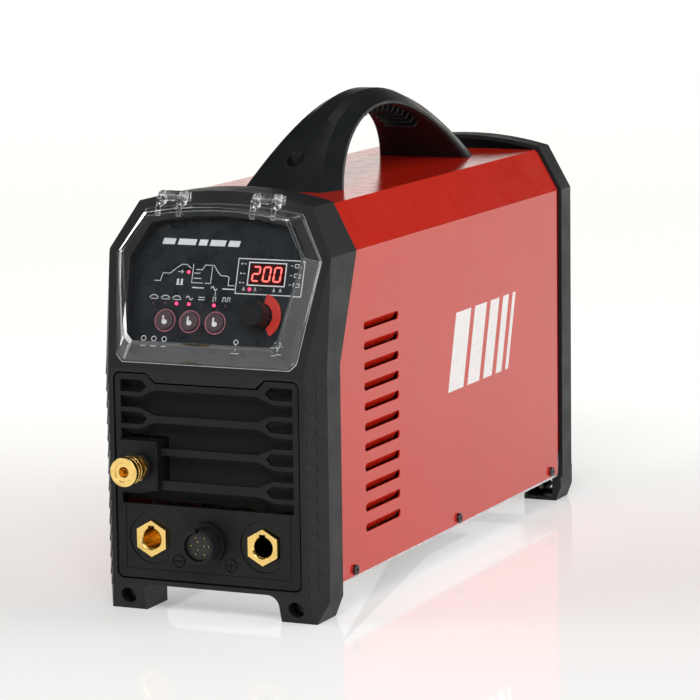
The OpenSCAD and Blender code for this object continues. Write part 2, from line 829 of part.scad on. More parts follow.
module encoder_bush() {
    color([0.6, 0.61, 0.62]) on_slope() translate([knob_x, 0, knob_s]) difference() {
        union() {
            translate([0, fascia_in - 2, 0]) back_cyl(4.2, 8);
            translate([-6, fascia_in + 5, -6]) cube([12, board_in - fascia_in - 5.2, 12]);
        }
        translate([0, fascia_in - 3, 0]) back_cyl(shaft_r + fit, 20);
        translate([0, fascia_in + 8.4, 0]) back_cyl(4.5, 20);
    }
}

module encoder_plunger() {
    color([0.85, 0.85, 0.8]) on_slope() translate([knob_x, fascia_in + 9.4, knob_s]) difference() {
        back_cyl(4.3, 2);
        translate([0, -1, 0]) back_cyl(1.5 + fit, 4);
    }
}

module encoder_shaft() {
    color([0.7, 0.7, 0.72]) on_slope() translate([knob_x, 0, knob_s]) {
        translate([0, -shaft_tip, 0]) back_cyl(shaft_r, shaft_tip + fascia_in + 9);
        translate([0, fascia_in + 9 - eps, 0]) back_cyl(1.5, 2.2);
    }
}

module control_knob() {
    rib_n = 18;
    color([0.05, 0.05, 0.055]) on_slope() translate([knob_x, -knob_out, knob_s]) difference() {
        union() {
            back_cyl(knob_r - 0.9, 1);
            translate([0, 0.9, 0]) back_cyl(knob_r - 0.4, 12);
            for (i = [0:rib_n - 1]) rotate([0, (i + 0.5) * 360 / rib_n, 0])
                translate([knob_r - 0.8, 1.6, 0]) back_cyl(0.8, 10.8);
        }
        translate([0, 3, 0]) back_cyl(shaft_r + 0.03, 15);
        translate([0, 11, 0]) back_cyl(5, 4);
        translate([-0.5, -1, knob_r * 0.35]) cube([1, 1.5, knob_r * 0.5]);
    }
}

module push_button(i) {
    stem_y = fascia_in + fascia_t + 1;
    color([0.2, 0.16, 0.17]) on_slope() translate([button_x[i], 0, button_s]) {
        translate([0, fascia_in - 1.6, 0]) back_cyl(button_r, 5);
        translate([0, fascia_in + fascia_t + 0.4, 0]) back_cyl(button_r + 1.2, 1.6);
        translate([0, stem_y, 0]) back_cyl(2, board_in - switch_h - button_travel - 0.4 - stem_y);
    }
}

module left_button() {
    push_button(0);
}

module middle_button() {
    push_button(1);
}

module right_button() {
    push_button(2);
}

// Outline of the clear cover on the slope: front goes from 0 at the bezel to 1 at its front face, and
// wall moves the whole outline inwards.
module lid_outline(front, wall) {
    arch = 5;
    low = 3 + 11 * front + wall;
    low_half = 65 - 9 * front - wall;
    shoulder_half = 74 - 7.5 * front - wall;
    top_half = 57 - 5 * front - wall;
    top_s = 105.5 - 5 * front - wall;
    cut = 4.6;
    r = (top_half * top_half + arch * arch) / (2 * arch);
    intersection() {
        polygon(mirrored([[low_half - cut, low], [low_half, low + cut], [shoulder_half, 75],
            [top_half, top_s], [top_half - 2, top_s + arch + 3]]));
        translate([0, top_s + arch - r]) circle(r = r);
    }
}

// Side view of an arm that reaches from a hinge pin down over the cover's upper edge.
module lid_arm() {
    tip = 1.2;
    prong_s = 98.5;
    front = -lid_deep - tip;
    polygon([[-hinge_out + knuckle_r - 0.6, hinge_s - 1], [-hinge_out + 1, hinge_s + 2.6],
        [front + 2.4, hinge_s + 1.6], [front, hinge_s - 3], [front, prong_s + 2], [front + tip, prong_s],
        [-lid_deep, 104.7], [-hinge_out + 1.5, 107.8], [-hinge_out + 1.5, hinge_s - 2.4]]);
}

module clear_cover() {
    color([0.8, 0.85, 0.88, 0.35]) on_slope() difference() {
        hull() {
            along_y(-lid_deep, eps) lid_outline(1, 0);
            along_y(-0.3 - eps, eps) lid_outline(0, 0);
        }
        hull() {
            along_y(-lid_deep + lid_wall, eps) lid_outline(1, lid_wall);
            along_y(-0.2, eps) lid_outline(0, lid_wall);
        }
    }
}

// Four clear arms bonded to the cover's front, each with the bore that turns on a hinge pin.
module hinge_arms() {
    color([0.8, 0.85, 0.88, 0.35]) on_slope() for (x = [-1, 1], m = [-1, 1])
        translate([x * hinge_x + m * arm_x, 0, 0]) difference() {
            union() {
                along_x(-arm_w / 2, arm_w) lid_arm();
                translate([-arm_w / 2, -hinge_out, hinge_s]) rotate([0, 90, 0])
                    cylinder(r = knuckle_r, h = arm_w);
            }
            translate([-arm_w, -hinge_out, hinge_s]) rotate([0, 90, 0])
                cylinder(r = pin_r + fit, h = 2 * arm_w);
        }
}

// Clear clips on the bezel, each a block between two of the cover's arms, that carry its hinge pins.
module hinge_clips() {
    block_w = 2 * arm_x - arm_w - 1;
    foot_w = 2 * arm_x + arm_w;
    foot_t = 2;
    down = 2.6;
    color([0.8, 0.85, 0.88, 0.35]) on_slope() for (x = [-1, 1]) translate([x * hinge_x, 0, 0]) difference() {
        union() {
            translate([-block_w / 2, -hinge_out, hinge_s]) rotate([0, 90, 0])
                cylinder(r = knuckle_r, h = block_w);
            translate([-block_w / 2, -hinge_out, hinge_s - down])
                cube([block_w, hinge_out - 0.02, down + knuckle_r]);
            translate([-foot_w / 2, -foot_t, hinge_s - down]) cube([foot_w, foot_t - 0.02, down + knuckle_r]);
        }
        translate([-foot_w, -hinge_out, hinge_s]) rotate([0, 90, 0]) cylinder(r = pin_r, h = 2 * foot_w);
    }
}

module hinge_pins() {
    color([0.7, 0.7, 0.72]) on_slope() for (x = [-1, 1])
        translate([x * hinge_x - pin_l / 2, -hinge_out, hinge_s]) rotate([0, 90, 0])
            cylinder(r = pin_r, h = pin_l);
}

module fan_frame() {
    arm_n = 4;
    color([0.05, 0.05, 0.05]) translate([0, fan_y, fan_z]) difference() {
        union() {
            difference() {
                along_y(0, fan_d) round_rect(fan_size, fan_size, 6);
                translate([0, -1, 0]) back_cyl(fan_bore, fan_d + 2);
                translate([0, 6, 0]) back_ring(fan_size, fan_bore + 2, fan_d - 12);
            }
            back_cyl(fan_hub, 4);
            for (i = [0:arm_n - 1]) rotate([0, 45 + i * 360 / arm_n, 0]) translate([fan_hub - 2, 0.4, -2.5])
                cube([fan_bore - fan_hub + 5, 3.2, 5]);
            back_cyl(axle_r, 26);
            for (x = [-1, 1], z = [-1, 1]) translate([x * fan_screw, 1, z * fan_screw])
                back_cyl(4.5, fan_d - 2);
        }
        for (x = [-1, 1], z = [-1, 1]) translate([x * fan_screw, -1, z * fan_screw])
            back_cyl(2.2, fan_d + 2);
    }
}

module fan_rotor() {
    blade_l = fan_bore - fan_hub - 1.2;
    color([0.05, 0.05, 0.05]) translate([0, fan_y + 5, fan_z]) difference() {
        union() {
            back_cyl(fan_hub - 1, 27);
            intersection() {
                for (i = [0:blade_n - 1]) rotate([0, i * 360 / blade_n, 0]) translate([fan_hub - 2, 13, 0])
                    rotate([38, 0, 0]) translate([0, -15, -0.9]) cube([blade_l + 2, 30, 1.8]);
                back_cyl(fan_bore - 1.2, 27);
            }
        }
        translate([0, -1, 0]) back_cyl(axle_r + fit, 24);
        translate([0, -1, 0]) back_cyl(fan_hub - 5, 14);
    }
}

// Ring-and-spoke guard over the fan opening.
module fan_grille() {
    y = panel_back_y + 2.1;
    wire = 2;
    ring_n = 6;
    color([0.6, 0.61, 0.62]) translate([0, y, fan_z]) difference() {
        union() {
            for (i = [1:ring_n]) back_ring(i * 9 + 2.6, i * 9 + 0.6, wire);
            back_cyl(5, wire);
            for (a = [45, 135]) rotate([0, a, 0]) translate([-fan_screw * sqrt(2), 0, -wire / 2])
                cube([2 * fan_screw * sqrt(2), wire, wire]);
            for (x = [-1, 1], z = [-1, 1]) translate([x * fan_screw, 0, z * fan_screw]) back_cyl(4.4, wire);
        }
        for (x = [-1, 1], z = [-1, 1]) translate([x * fan_screw, -1, z * fan_screw])
            back_cyl(2.2, wire + 2);
    }
}

module fan_screws() {
    color([0.2, 0.2, 0.21]) for (x = [-1, 1], z = [-1, 1])
        translate([x * fan_screw, panel_back_y + 4.1, fan_z + z * fan_screw]) rotate([0, 0, 180])
            front_screw(3.6, 2.2, 1.9, 40);
}

module switch_body() {
    y = panel_back_y + 2;
    color([0.04, 0.04, 0.04]) translate([switch_x, y, fitting_z]) difference() {
        union() {
            translate([0, 1, 0]) cube([24, 2, 32], center = true);
            translate([0, -12, 0]) cube([20, 24, 28], center = true);
            for (z = [-8, 0, 8]) translate([0, -28, z]) cube([6, 9, 0.8], center = true);
        }
        translate([0, -1, 0]) cube([15, 14, 24], center = true);
        translate([-12, -3, 0]) rotate([0, 90, 0]) cylinder(r = 1.2, h = 24);
    }
}

module switch_rocker() {
    y = panel_back_y + 2;
    color([0.5, 0.03, 0.03]) translate([switch_x, y - 3, fitting_z]) rotate([rocker_tilt, 0, 0])
    difference() {
        union() {
            translate([-7.2, -2, -11]) cube([14.4, 5.8, 22]);
            translate([-9.8, 0, 0]) rotate([0, 90, 0]) cylinder(r = 1.2 - fit, h = 19.6);
        }
        translate([-8, 24.4, 0]) rotate([0, 90, 0]) cylinder(r = 22, h = 16);
    }
}

module cable_gland() {
    y = panel_back_y + 2.1;
    color([0.06, 0.06, 0.06]) translate([gland_x, y, fitting_z]) difference() {
        union() {
            back_hex(22, 6);
            translate([0, -16, 0]) back_cyl(10, 17);
            translate([0, 6, 0]) back_cyl(9.5, 8);
            translate([0, 13, 0]) back_cyl(8.2, 3);
        }
        translate([0, -17, 0]) back_cyl(gland_r, 40);
    }
}

module gland_nut() {
    color([0.06, 0.06, 0.06]) translate([gland_x, panel_back_y - 5.1, fitting_z]) difference() {
        back_hex(25, 5);
        translate([0, -1, 0]) back_cyl(10.05, 8);
    }
}

module gas_inlet() {
    y = panel_back_y + 2.1;
    color([0.78, 0.6, 0.25]) translate([inlet_x, y, fitting_z]) difference() {
        union() {
            back_hex(14, 5);
            translate([0, -12, 0]) back_cyl(5, 13);
            translate([0, 4, 0]) back_cyl(spigot_r, spigot_end - 4);
        }
        translate([0, -13, 0]) back_cyl(2, 50);
    }
}

module gas_valve() {
    y = panel_back_y - 10;
    color([0.15, 0.15, 0.16]) translate([inlet_x, y, fitting_z]) difference() {
        union() {
            translate([-11, -30, -11]) cube([22, 30, 22]);
            translate([0, -15, 10]) cylinder(r = 12, h = 26);
            translate([0, -44, 0]) back_cyl(hose_bore - 0.05, 16);
        }
        translate([0, -6, 0]) back_cyl(5.1, 12);
    }
}

// Internal gas hose: back along the side, then down to the coupling's tail.
module gas_hose() {
    bend = 16;
    drop_y = 40 + bend;
    tail_y = panel_back_y - 48;
    low = boss_z;
    color([0.1, 0.15, 0.35]) translate([gas_x, 0, 0]) {
        translate([0, hose_y, low]) back_ring(hose_r, hose_bore, drop_y - bend - hose_y);
        translate([0, drop_y - bend, low + bend]) rotate([0, 90, 0])
            rotate_extrude(angle = 90) translate([bend, 0]) difference() {
                circle(r = hose_r);
                circle(r = hose_bore);
            }
        translate([0, drop_y, low + bend]) difference() {
            cylinder(r = hose_r, h = fitting_z - low - 2 * bend);
            translate([0, 0, -1]) cylinder(r = hose_bore, h = fitting_z - low);
        }
        translate([0, drop_y + bend, fitting_z - bend]) rotate([0, 90, 0]) rotate([0, 0, 180])
            rotate_extrude(angle = 90) translate([bend, 0]) difference() {
                circle(r = hose_r);
                circle(r = hose_bore);
            }
        translate([0, drop_y + bend, fitting_z]) back_ring(hose_r, hose_bore, tail_y - drop_y - bend + 2);
    }
}

module power_board() {
    color([0.05, 0.25, 0.12]) difference() {
        translate([-68, 150, boards_z]) cube([136, 240, 1.6]);
        for (x = [-62, 62], y = [156, 384]) translate([x, y, boards_z - 1]) cylinder(r = 2, h = 4);
    }
}

// Finned aluminium blocks that carry the board.
module heat_sinks() {
    fin_n = 7;
    h = boards_z - pan_z - sheet - 0.1;
    color([0.75, 0.76, 0.77]) both_sides() translate([6, 196, pan_z + sheet + 0.05]) difference() {
        cube([62, 180, h]);
        for (i = [0:fin_n - 1]) translate([5 + i * 7.8, -1, -1]) cube([5, 182, h - 8]);
    }
}

module capacitors() {
    color([0.1, 0.1, 0.25]) for (x = [-1, 1], i = [0:2]) translate([x * 30, 230 + i * 42, boards_z + 1.65])
        difference() {
            cylinder(r = 17.5, h = 50);
            translate([0, 0, 49]) cylinder(r = 15, h = 2);
        }
}

module transformer() {
    color([0.3, 0.22, 0.12]) translate([0, 172, boards_z + 1.65]) difference() {
        union() {
            translate([-34, -16, 0]) cube([68, 32, 58]);
            translate([-22, -26, 8]) cube([44, 52, 42]);
        }
        for (x = [-28, 28]) translate([x, 0, -1]) cylinder(r = 1.8, h = 70);
    }
}

module output_choke() {
    color([0.55, 0.3, 0.15]) translate([36, 110, pan_z + sheet + 0.05]) difference() {
        cylinder(r = 32, h = 38);
        translate([0, 0, -1]) cylinder(r = 12, h = 40);
    }
}

module ignition_coil() {
    color([0.5, 0.1, 0.08]) translate([-64, 72, pan_z + sheet + 0.05]) difference() {
        cube([60, 58, 50]);
        translate([30, 29, 42]) cylinder(r = 10, h = 12);
    }
}

// Copper straps behind the two weld sockets.
module busbars() {
    color([0.72, 0.4, 0.22]) for (x = [-1, 1]) translate([x * socket_x, 50.2, socket_z]) difference() {
        translate([-9, 0, -10]) cube([18, 3, 44]);
        translate([0, -1, 0]) back_cyl(4, 6);
    }
}

module from_front() {
    translate([0, front_y, 0]) children();
}

from_front() front_bezel();
from_front() rear_bezel();
from_front() top_cover();
from_front() base_pan();
from_front() front_bulkhead();
from_front() rear_panel();
from_front() cover_screws();
from_front() bezel_screws();
from_front() handle();
from_front() handle_screws();
from_front() front_panel();
from_front() dust_filter();
from_front() gas_boss();
from_front() gas_coupling_body();
from_front() gas_coupling_sleeve();
from_front() gas_coupling_spring();
from_front() minus_collar();
from_front() plus_collar();
from_front() minus_socket();
from_front() plus_socket();
from_front() socket_nuts();
from_front() connector_shell();
from_front() connector_insert();
from_front() connector_pins();
from_front() control_fascia();
from_front() control_board();
from_front() board_standoffs();
from_front() display_module();
from_front() display_window();
from_front() status_leds();
from_front() knob_ring();
from_front() encoder_bush();
from_front() encoder_plunger();
from_front() encoder_shaft();
from_front() control_knob();
from_front() left_button();
from_front() middle_button();
from_front() right_button();
from_front() clear_cover();
from_front() hinge_arms();
from_front() hinge_clips();
from_front() hinge_pins();
from_front() fan_frame();
from_front() fan_rotor();
from_front() fan_grille();
from_front() fan_screws();
from_front() switch_body();
from_front() switch_rocker();
from_front() cable_gland();
from_front() gland_nut();
from_front() gas_inlet();
from_front() gas_valve();
from_front() gas_hose();
from_front() power_board();
from_front() heat_sinks();
from_front() capacitors();
from_front() transformer();
from_front() output_choke();
from_front() ignition_coil();
from_front() busbars();
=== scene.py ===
"""Visual model of an inverter TIG welder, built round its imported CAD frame.

Lengths are written in millimetres of the machine: x to the right seen from the front, y backwards from
the front face, z up from the feet. at() and on_slope() turn them into the frame's metres.
"""
import json
import math
import bmesh
import bpy
from mathutils import Matrix, Vector


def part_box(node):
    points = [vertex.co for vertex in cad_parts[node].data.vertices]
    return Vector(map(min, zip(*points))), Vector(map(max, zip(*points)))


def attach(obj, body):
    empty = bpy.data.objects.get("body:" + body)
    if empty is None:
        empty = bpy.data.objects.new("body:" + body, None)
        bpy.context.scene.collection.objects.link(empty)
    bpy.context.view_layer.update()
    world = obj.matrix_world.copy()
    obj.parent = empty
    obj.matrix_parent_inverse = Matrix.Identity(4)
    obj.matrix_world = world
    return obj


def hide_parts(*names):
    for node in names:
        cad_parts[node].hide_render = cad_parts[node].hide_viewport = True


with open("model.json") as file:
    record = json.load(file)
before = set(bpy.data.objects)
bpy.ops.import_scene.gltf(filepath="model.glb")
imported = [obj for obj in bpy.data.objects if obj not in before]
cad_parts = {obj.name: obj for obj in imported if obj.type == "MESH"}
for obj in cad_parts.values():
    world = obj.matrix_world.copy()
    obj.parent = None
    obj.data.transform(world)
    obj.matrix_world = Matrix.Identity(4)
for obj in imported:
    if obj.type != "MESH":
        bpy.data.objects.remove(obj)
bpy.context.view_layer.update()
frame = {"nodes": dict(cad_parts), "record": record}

MM = 0.001
FRONT_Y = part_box("front_bezel")[0].y
KINK_Z = 163
LEAN = math.radians(18.3)
FACE_IN = 7
BODY_OF = {node: body for body, nodes in frame["record"]["behaviour"]["bodies"].items() for node in nodes}


def at(x, y, z):
    """A point of the machine, in the frame's metres."""
    return Vector((x * MM, y * MM + FRONT_Y, z * MM))


def on_slope(x, out, s):
    """A point on the leaning control face: s up the slope, out towards the viewer from the fascia."""
    y = FACE_IN - out
    return at(x, y * math.cos(LEAN) + s * math.sin(LEAN), KINK_Z - y * math.sin(LEAN) + s * math.cos(LEAN))


# ---------------------------------------------------------------- material nodes

def new_material(name, colour, roughness, metallic=0.0):
    """A material with one Principled shader, and the node tree, shader and object coordinates it needs."""
    material = bpy.data.materials.new(name)
    material.use_nodes = True
    tree = material.node_tree
    shader = tree.nodes["Principled BSDF"]
    shader.inputs["Base Color"].default_value = (*colour, 1)
    shader.inputs["Roughness"].default_value = roughness
    shader.inputs["Metallic"].default_value = metallic
    place = tree.nodes.new("ShaderNodeTexCoord").outputs["Object"]
    return material, tree, shader, place


def noise(tree, place, scale, detail=3.0, stretch=(1, 1, 1)):
    """Noise of a given scale per metre, optionally stretched along an axis."""
    mapping = tree.nodes.new("ShaderNodeMapping")
    mapping.inputs["Scale"].default_value = stretch
    tree.links.new(place, mapping.inputs["Vector"])
    node = tree.nodes.new("ShaderNodeTexNoise")
    node.inputs["Scale"].default_value = scale
    node.inputs["Detail"].default_value = detail
    tree.links.new(mapping.outputs[0], node.inputs["Vector"])
    return node.outputs["Fac"]


def ramp(tree, value, low, high, start=0.3, end=0.7):
    """Maps a value from start..end to low..high, as a number."""
    node = tree.nodes.new("ShaderNodeMapRange")
    node.inputs["From Min"].default_value = start
    node.inputs["From Max"].default_value = end
    node.inputs["To Min"].default_value = low
    node.inputs["To Max"].default_value = high
    tree.links.new(value, node.inputs["Value"])
    return node.outputs[0]


def multiply(tree, a, b):
    """The product of two numbers, each a socket."""
    node = tree.nodes.new("ShaderNodeMath")
    node.operation = "MULTIPLY"
    tree.links.new(a, node.inputs[0])
    tree.links.new(b, node.inputs[1])
    return node.outputs[0]


def blend_colour(tree, fac, low, high):
    """Mixes two colours, each a triple or a socket, by fac."""
    node = tree.nodes.new("ShaderNodeMix")
    node.data_type = "RGBA"
    tree.links.new(fac, node.inputs[0])
    for value, socket in ((low, node.inputs[6]), (high, node.inputs[7])):
        if isinstance(value, tuple):
            socket.default_value = (*value, 1)
        else:
            tree.links.new(value, socket)
    return node.outputs[2]


def edge_mask(tree, radius, gain):
    """Goes from 0 on flat stretches to 1 where the surface turns within radius metres."""
    rounded = tree.nodes.new("ShaderNodeBevel")
    rounded.samples = 4
    rounded.inputs["Radius"].default_value = radius
    flat = tree.nodes.new("ShaderNodeNewGeometry").outputs["Normal"]
    dot = tree.nodes.new("ShaderNodeVectorMath")
    dot.operation = "DOT_PRODUCT"
    tree.links.new(rounded.outputs[0], dot.inputs[0])
    tree.links.new(flat, dot.inputs[1])
    size = tree.nodes.new("ShaderNodeMath")
    size.operation = "ABSOLUTE"
    tree.links.new(dot.outputs["Value"], size.inputs[0])
    return ramp(tree, size.outputs[0], 1.0, 0.0, 1.0 - 1.0 / gain, 1.0)


def bump(tree, height, distance, strength=1.0):
    """A surface normal raised by height, where a height of 1 stands distance metres out."""
    node = tree.nodes.new("ShaderNodeBump")
    node.inputs["Distance"].default_value = distance
    node.inputs["Strength"].default_value = strength
    tree.links.new(height, node.inputs["Height"])
    return node.outputs[0]


def scaled(colour, factor):
    """A colour made lighter or darker by a factor."""
    return tuple(min(1.0, c * factor) for c in colour)


def grained(name, colour, roughness, metallic=0.0, spread=0.16, patch=25, grain=900, depth=0.00005,
            polish=0.08, wear=None, wear_radius=0.0008, stretch=(1, 1, 1)):
    """A surface with colour patches, fine grain, uneven polish and, where wear is a colour, worn edges."""
    material, tree, shader, place = new_material(name, colour, roughness, metallic)
    patches = noise(tree, place, patch, 4, stretch)
    fine = noise(tree, place, grain, 2, stretch)
    darker, lighter = scaled(colour, 1 - spread), scaled(colour, 1 + spread)
    tone = blend_colour(tree, ramp(tree, patches, 0, 1), darker, lighter)
    if wear is not None:
        rubbed = multiply(tree, edge_mask(tree, wear_radius, 4), ramp(tree, patches, 0.15, 0.8, 0.4, 0.65))
        tone = blend_colour(tree, rubbed, tone, wear)
    tree.links.new(tone, shader.inputs["Base Color"])
    smears = noise(tree, place, patch * 3, 3, stretch)
    tree.links.new(ramp(tree, smears, roughness - polish, roughness + polish), shader.inputs["Roughness"])
    tree.links.new(bump(tree, fine, depth), shader.inputs["Normal"])
    return material


# ---------------------------------------------------------------- materials

def make_black_plastic(name, colour, roughness):
    """Moulded ABS with a fine spark-eroded texture."""
    material = grained(name, colour, roughness, spread=0.1, patch=18, grain=1400, depth=0.00006,
                       wear=scaled(colour, 2.2), wear_radius=0.0006)
    material.node_tree.nodes["Principled BSDF"].inputs["Specular IOR Level"].default_value = 0.2
    return material


def make_red_paint():
    """Glossy powder coat with faint orange peel and fine vertical streaks in its sheen."""
    colour = (0.54, 0.014, 0.004)
    material, tree, shader, place = new_material("red_powder_coat", colour, 0.16)
    shader.inputs["IOR"].default_value = 1.64
    shader.inputs["Specular Tint"].default_value = (1.0, 0.93, 0.85, 1)
    streaks = noise(tree, place, 110, 3, (1, 1, 0.04))
    patches = noise(tree, place, 9, 3)
    tone = blend_colour(tree, ramp(tree, patches, 0, 1), scaled(colour, 0.95), scaled(colour, 1.05))
    tone = blend_colour(tree, ramp(tree, streaks, 0, 0.2), tone, scaled(colour, 1.1))
    chipped = multiply(tree, edge_mask(tree, 0.0005, 5), ramp(tree, patches, 0.0, 0.3, 0.5, 0.7))
    tree.links.new(blend_colour(tree, chipped, tone, (0.60, 0.07, 0.04)), shader.inputs["Base Color"])
    tree.links.new(ramp(tree, streaks, 0.13, 0.2), shader.inputs["Roughness"])
    peel = noise(tree, place, 420, 2)
    tree.links.new(bump(tree, peel, 0.00001, 0.4), shader.inputs["Normal"])
    return material


def make_turned_metal(name, colour, roughness, lines=1500, depth=0.000012):
    """Machined metal: fine turning lines, small tarnish patches and a painted highlight that lightens its
    edges.
    """
    material, tree, shader, place = new_material(name, colour, roughness, 1.0)
    tarnish = noise(tree, place, 130, 5)
    dulled = ramp(tree, tarnish, 0, 1, 0.45, 0.8)
    tone = blend_colour(tree, dulled, scaled(colour, 1.05), scaled(colour, 0.75))
    # painted highlight: every edge is lightened by a quarter, as if it caught the light
    tone = blend_colour(tree, edge_mask(tree, 0.0004, 4), tone, scaled(colour, 1.25))
    tree.links.new(tone, shader.inputs["Base Color"])
    tree.links.new(ramp(tree, tarnish, roughness - 0.06, roughness + 0.14), shader.inputs["Roughness"])
    turned = noise(tree, place, lines, 1, (0.12, 1, 0.12))
    tree.links.new(bump(tree, turned, depth, 0.7), shader.inputs["Normal"])
    return material


def make_zinc():
    """Zinc-coated sheet with its crystal spangle."""
    material, tree, shader, place = new_material("zinc_sheet", (0.66, 0.68, 0.69), 0.38, 1.0)
    cells = tree.nodes.new("ShaderNodeTexVoronoi")
    cells.inputs["Scale"].default_value = 160
    tree.links.new(place, cells.inputs["Vector"])
    grey = tree.nodes.new("ShaderNodeRGBToBW")
    tree.links.new(cells.outputs["Color"], grey.inputs[0])
    tree.links.new(blend_colour(tree, grey.outputs[0], (0.5, 0.52, 0.54), (0.78, 0.79, 0.8)),
                   shader.inputs["Base Color"])
    tree.links.new(ramp(tree, grey.outputs[0], 0.28, 0.5, 0, 1), shader.inputs["Roughness"])
    tree.links.new(bump(tree, noise(tree, place, 700, 2), 0.00002), shader.inputs["Normal"])
    return material


def make_clear(name):
    """Clear moulded polycarbonate whose edges are painted whiter and less clear, a painted highlight for
    edges catching the light; light passes it without a shadow.
    """
    material, tree, shader, place = new_material(name, (0.97, 0.985, 0.99), 0.015)
    shader.inputs["IOR"].default_value = 1.45
    shader.inputs["Specular IOR Level"].default_value = 0.28
    # painted highlight: along the rounded edges the pane is made less clear and whiter, so they show as
    # bright lines
    edges = edge_mask(tree, 0.0007, 3)
    shader.inputs["Transmission Weight"].default_value = 1.0
    tree.links.new(ramp(tree, edges, 1.0, 0.35, 0.1, 0.9), shader.inputs["Transmission Weight"])
    tint = blend_colour(tree, noise(tree, place, 14), (0.955, 0.97, 0.975), (0.985, 0.995, 1.0))
    # painted highlight: the edges are whitened
    tree.links.new(blend_colour(tree, ramp(tree, edges, 0, 1, 0.1, 0.9), tint, (0.85, 0.87, 0.88)),
                   shader.inputs["Base Color"])
    scuffs = noise(tree, place, 260, 4, (1, 0.2, 1))
    tree.links.new(ramp(tree, scuffs, 0.01, 0.035, 0.5, 0.8), shader.inputs["Roughness"])
    tree.links.new(bump(tree, noise(tree, place, 60, 1), 0.000001, 0.1), shader.inputs["Normal"])
    ray = tree.nodes.new("ShaderNodeLightPath")
    passing = tree.nodes.new("ShaderNodeMath")
    passing.operation = "MAXIMUM"
    tree.links.new(ray.outputs["Is Shadow Ray"], passing.inputs[0])
    tree.links.new(ray.outputs["Is Diffuse Ray"], passing.inputs[1])
    through = tree.nodes.new("ShaderNodeBsdfTransparent")
    mix = tree.nodes.new("ShaderNodeMixShader")
    tree.links.new(passing.outputs[0], mix.inputs[0])
    tree.links.new(shader.outputs[0], mix.inputs[1])
    tree.links.new(through.outputs[0], mix.inputs[2])
    tree.links.new(mix.outputs[0], tree.nodes["Material Output"].inputs["Surface"])
    return material


def make_glow(name, colour, strength):
    """A lit lens: its glow is brighter in patches, and its skin slightly uneven."""
    material, tree, shader, place = new_material(name, scaled(colour, 0.5), 0.25)
    cloud = noise(tree, place, 300, 2)
    tree.links.new(blend_colour(tree, cloud, scaled(colour, 0.75), colour), shader.inputs["Emission Color"])
    shader.inputs["Emission Strength"].default_value = strength
    tree.links.new(bump(tree, noise(tree, place, 1500, 1), 0.00001), shader.inputs["Normal"])
    return material


def make_board():
    """Green solder mask over a faint pattern of copper tracks."""
    material, tree, shader, place = new_material("solder_mask", (0.01, 0.09, 0.03), 0.35)
    tracks = tree.nodes.new("ShaderNodeTexBrick")
    tracks.inputs["Scale"].default_value = 120
    tracks.inputs["Mortar Size"].default_value = 0.03
    tree.links.new(place, tracks.inputs["Vector"])
    tree.links.new(blend_colour(tree, tracks.outputs["Fac"], (0.008, 0.07, 0.025), (0.03, 0.16, 0.06)),
                   shader.inputs["Base Color"])
    tree.links.new(bump(tree, tracks.outputs["Fac"], 0.00003), shader.inputs["Normal"])
    tree.links.new(ramp(tree, noise(tree, place, 80), 0.25, 0.45), shader.inputs["Roughness"])
    return material


def make_wound(name, colour, roughness, metallic):
    """Lacquered winding: close turns of wire with a varnish sheen."""
    material, tree, shader, place = new_material(name, colour, roughness, metallic)
    wire = tree.nodes.new("ShaderNodeTexWave")
    wire.inputs["Scale"].default_value = 260
    wire.inputs["Distortion"].default_value = 0.6
    tree.links.new(place, wire.inputs["Vector"])
    tree.links.new(blend_colour(tree, wire.outputs["Fac"], scaled(colour, 0.45), scaled(colour, 1.15)),
                   shader.inputs["Base Color"])
    tree.links.new(bump(tree, wire.outputs["Fac"], 0.0003, 0.8), shader.inputs["Normal"])
    tree.links.new(ramp(tree, noise(tree, place, 60), roughness - 0.08, roughness + 0.08),
                   shader.inputs["Roughness"])
    return material


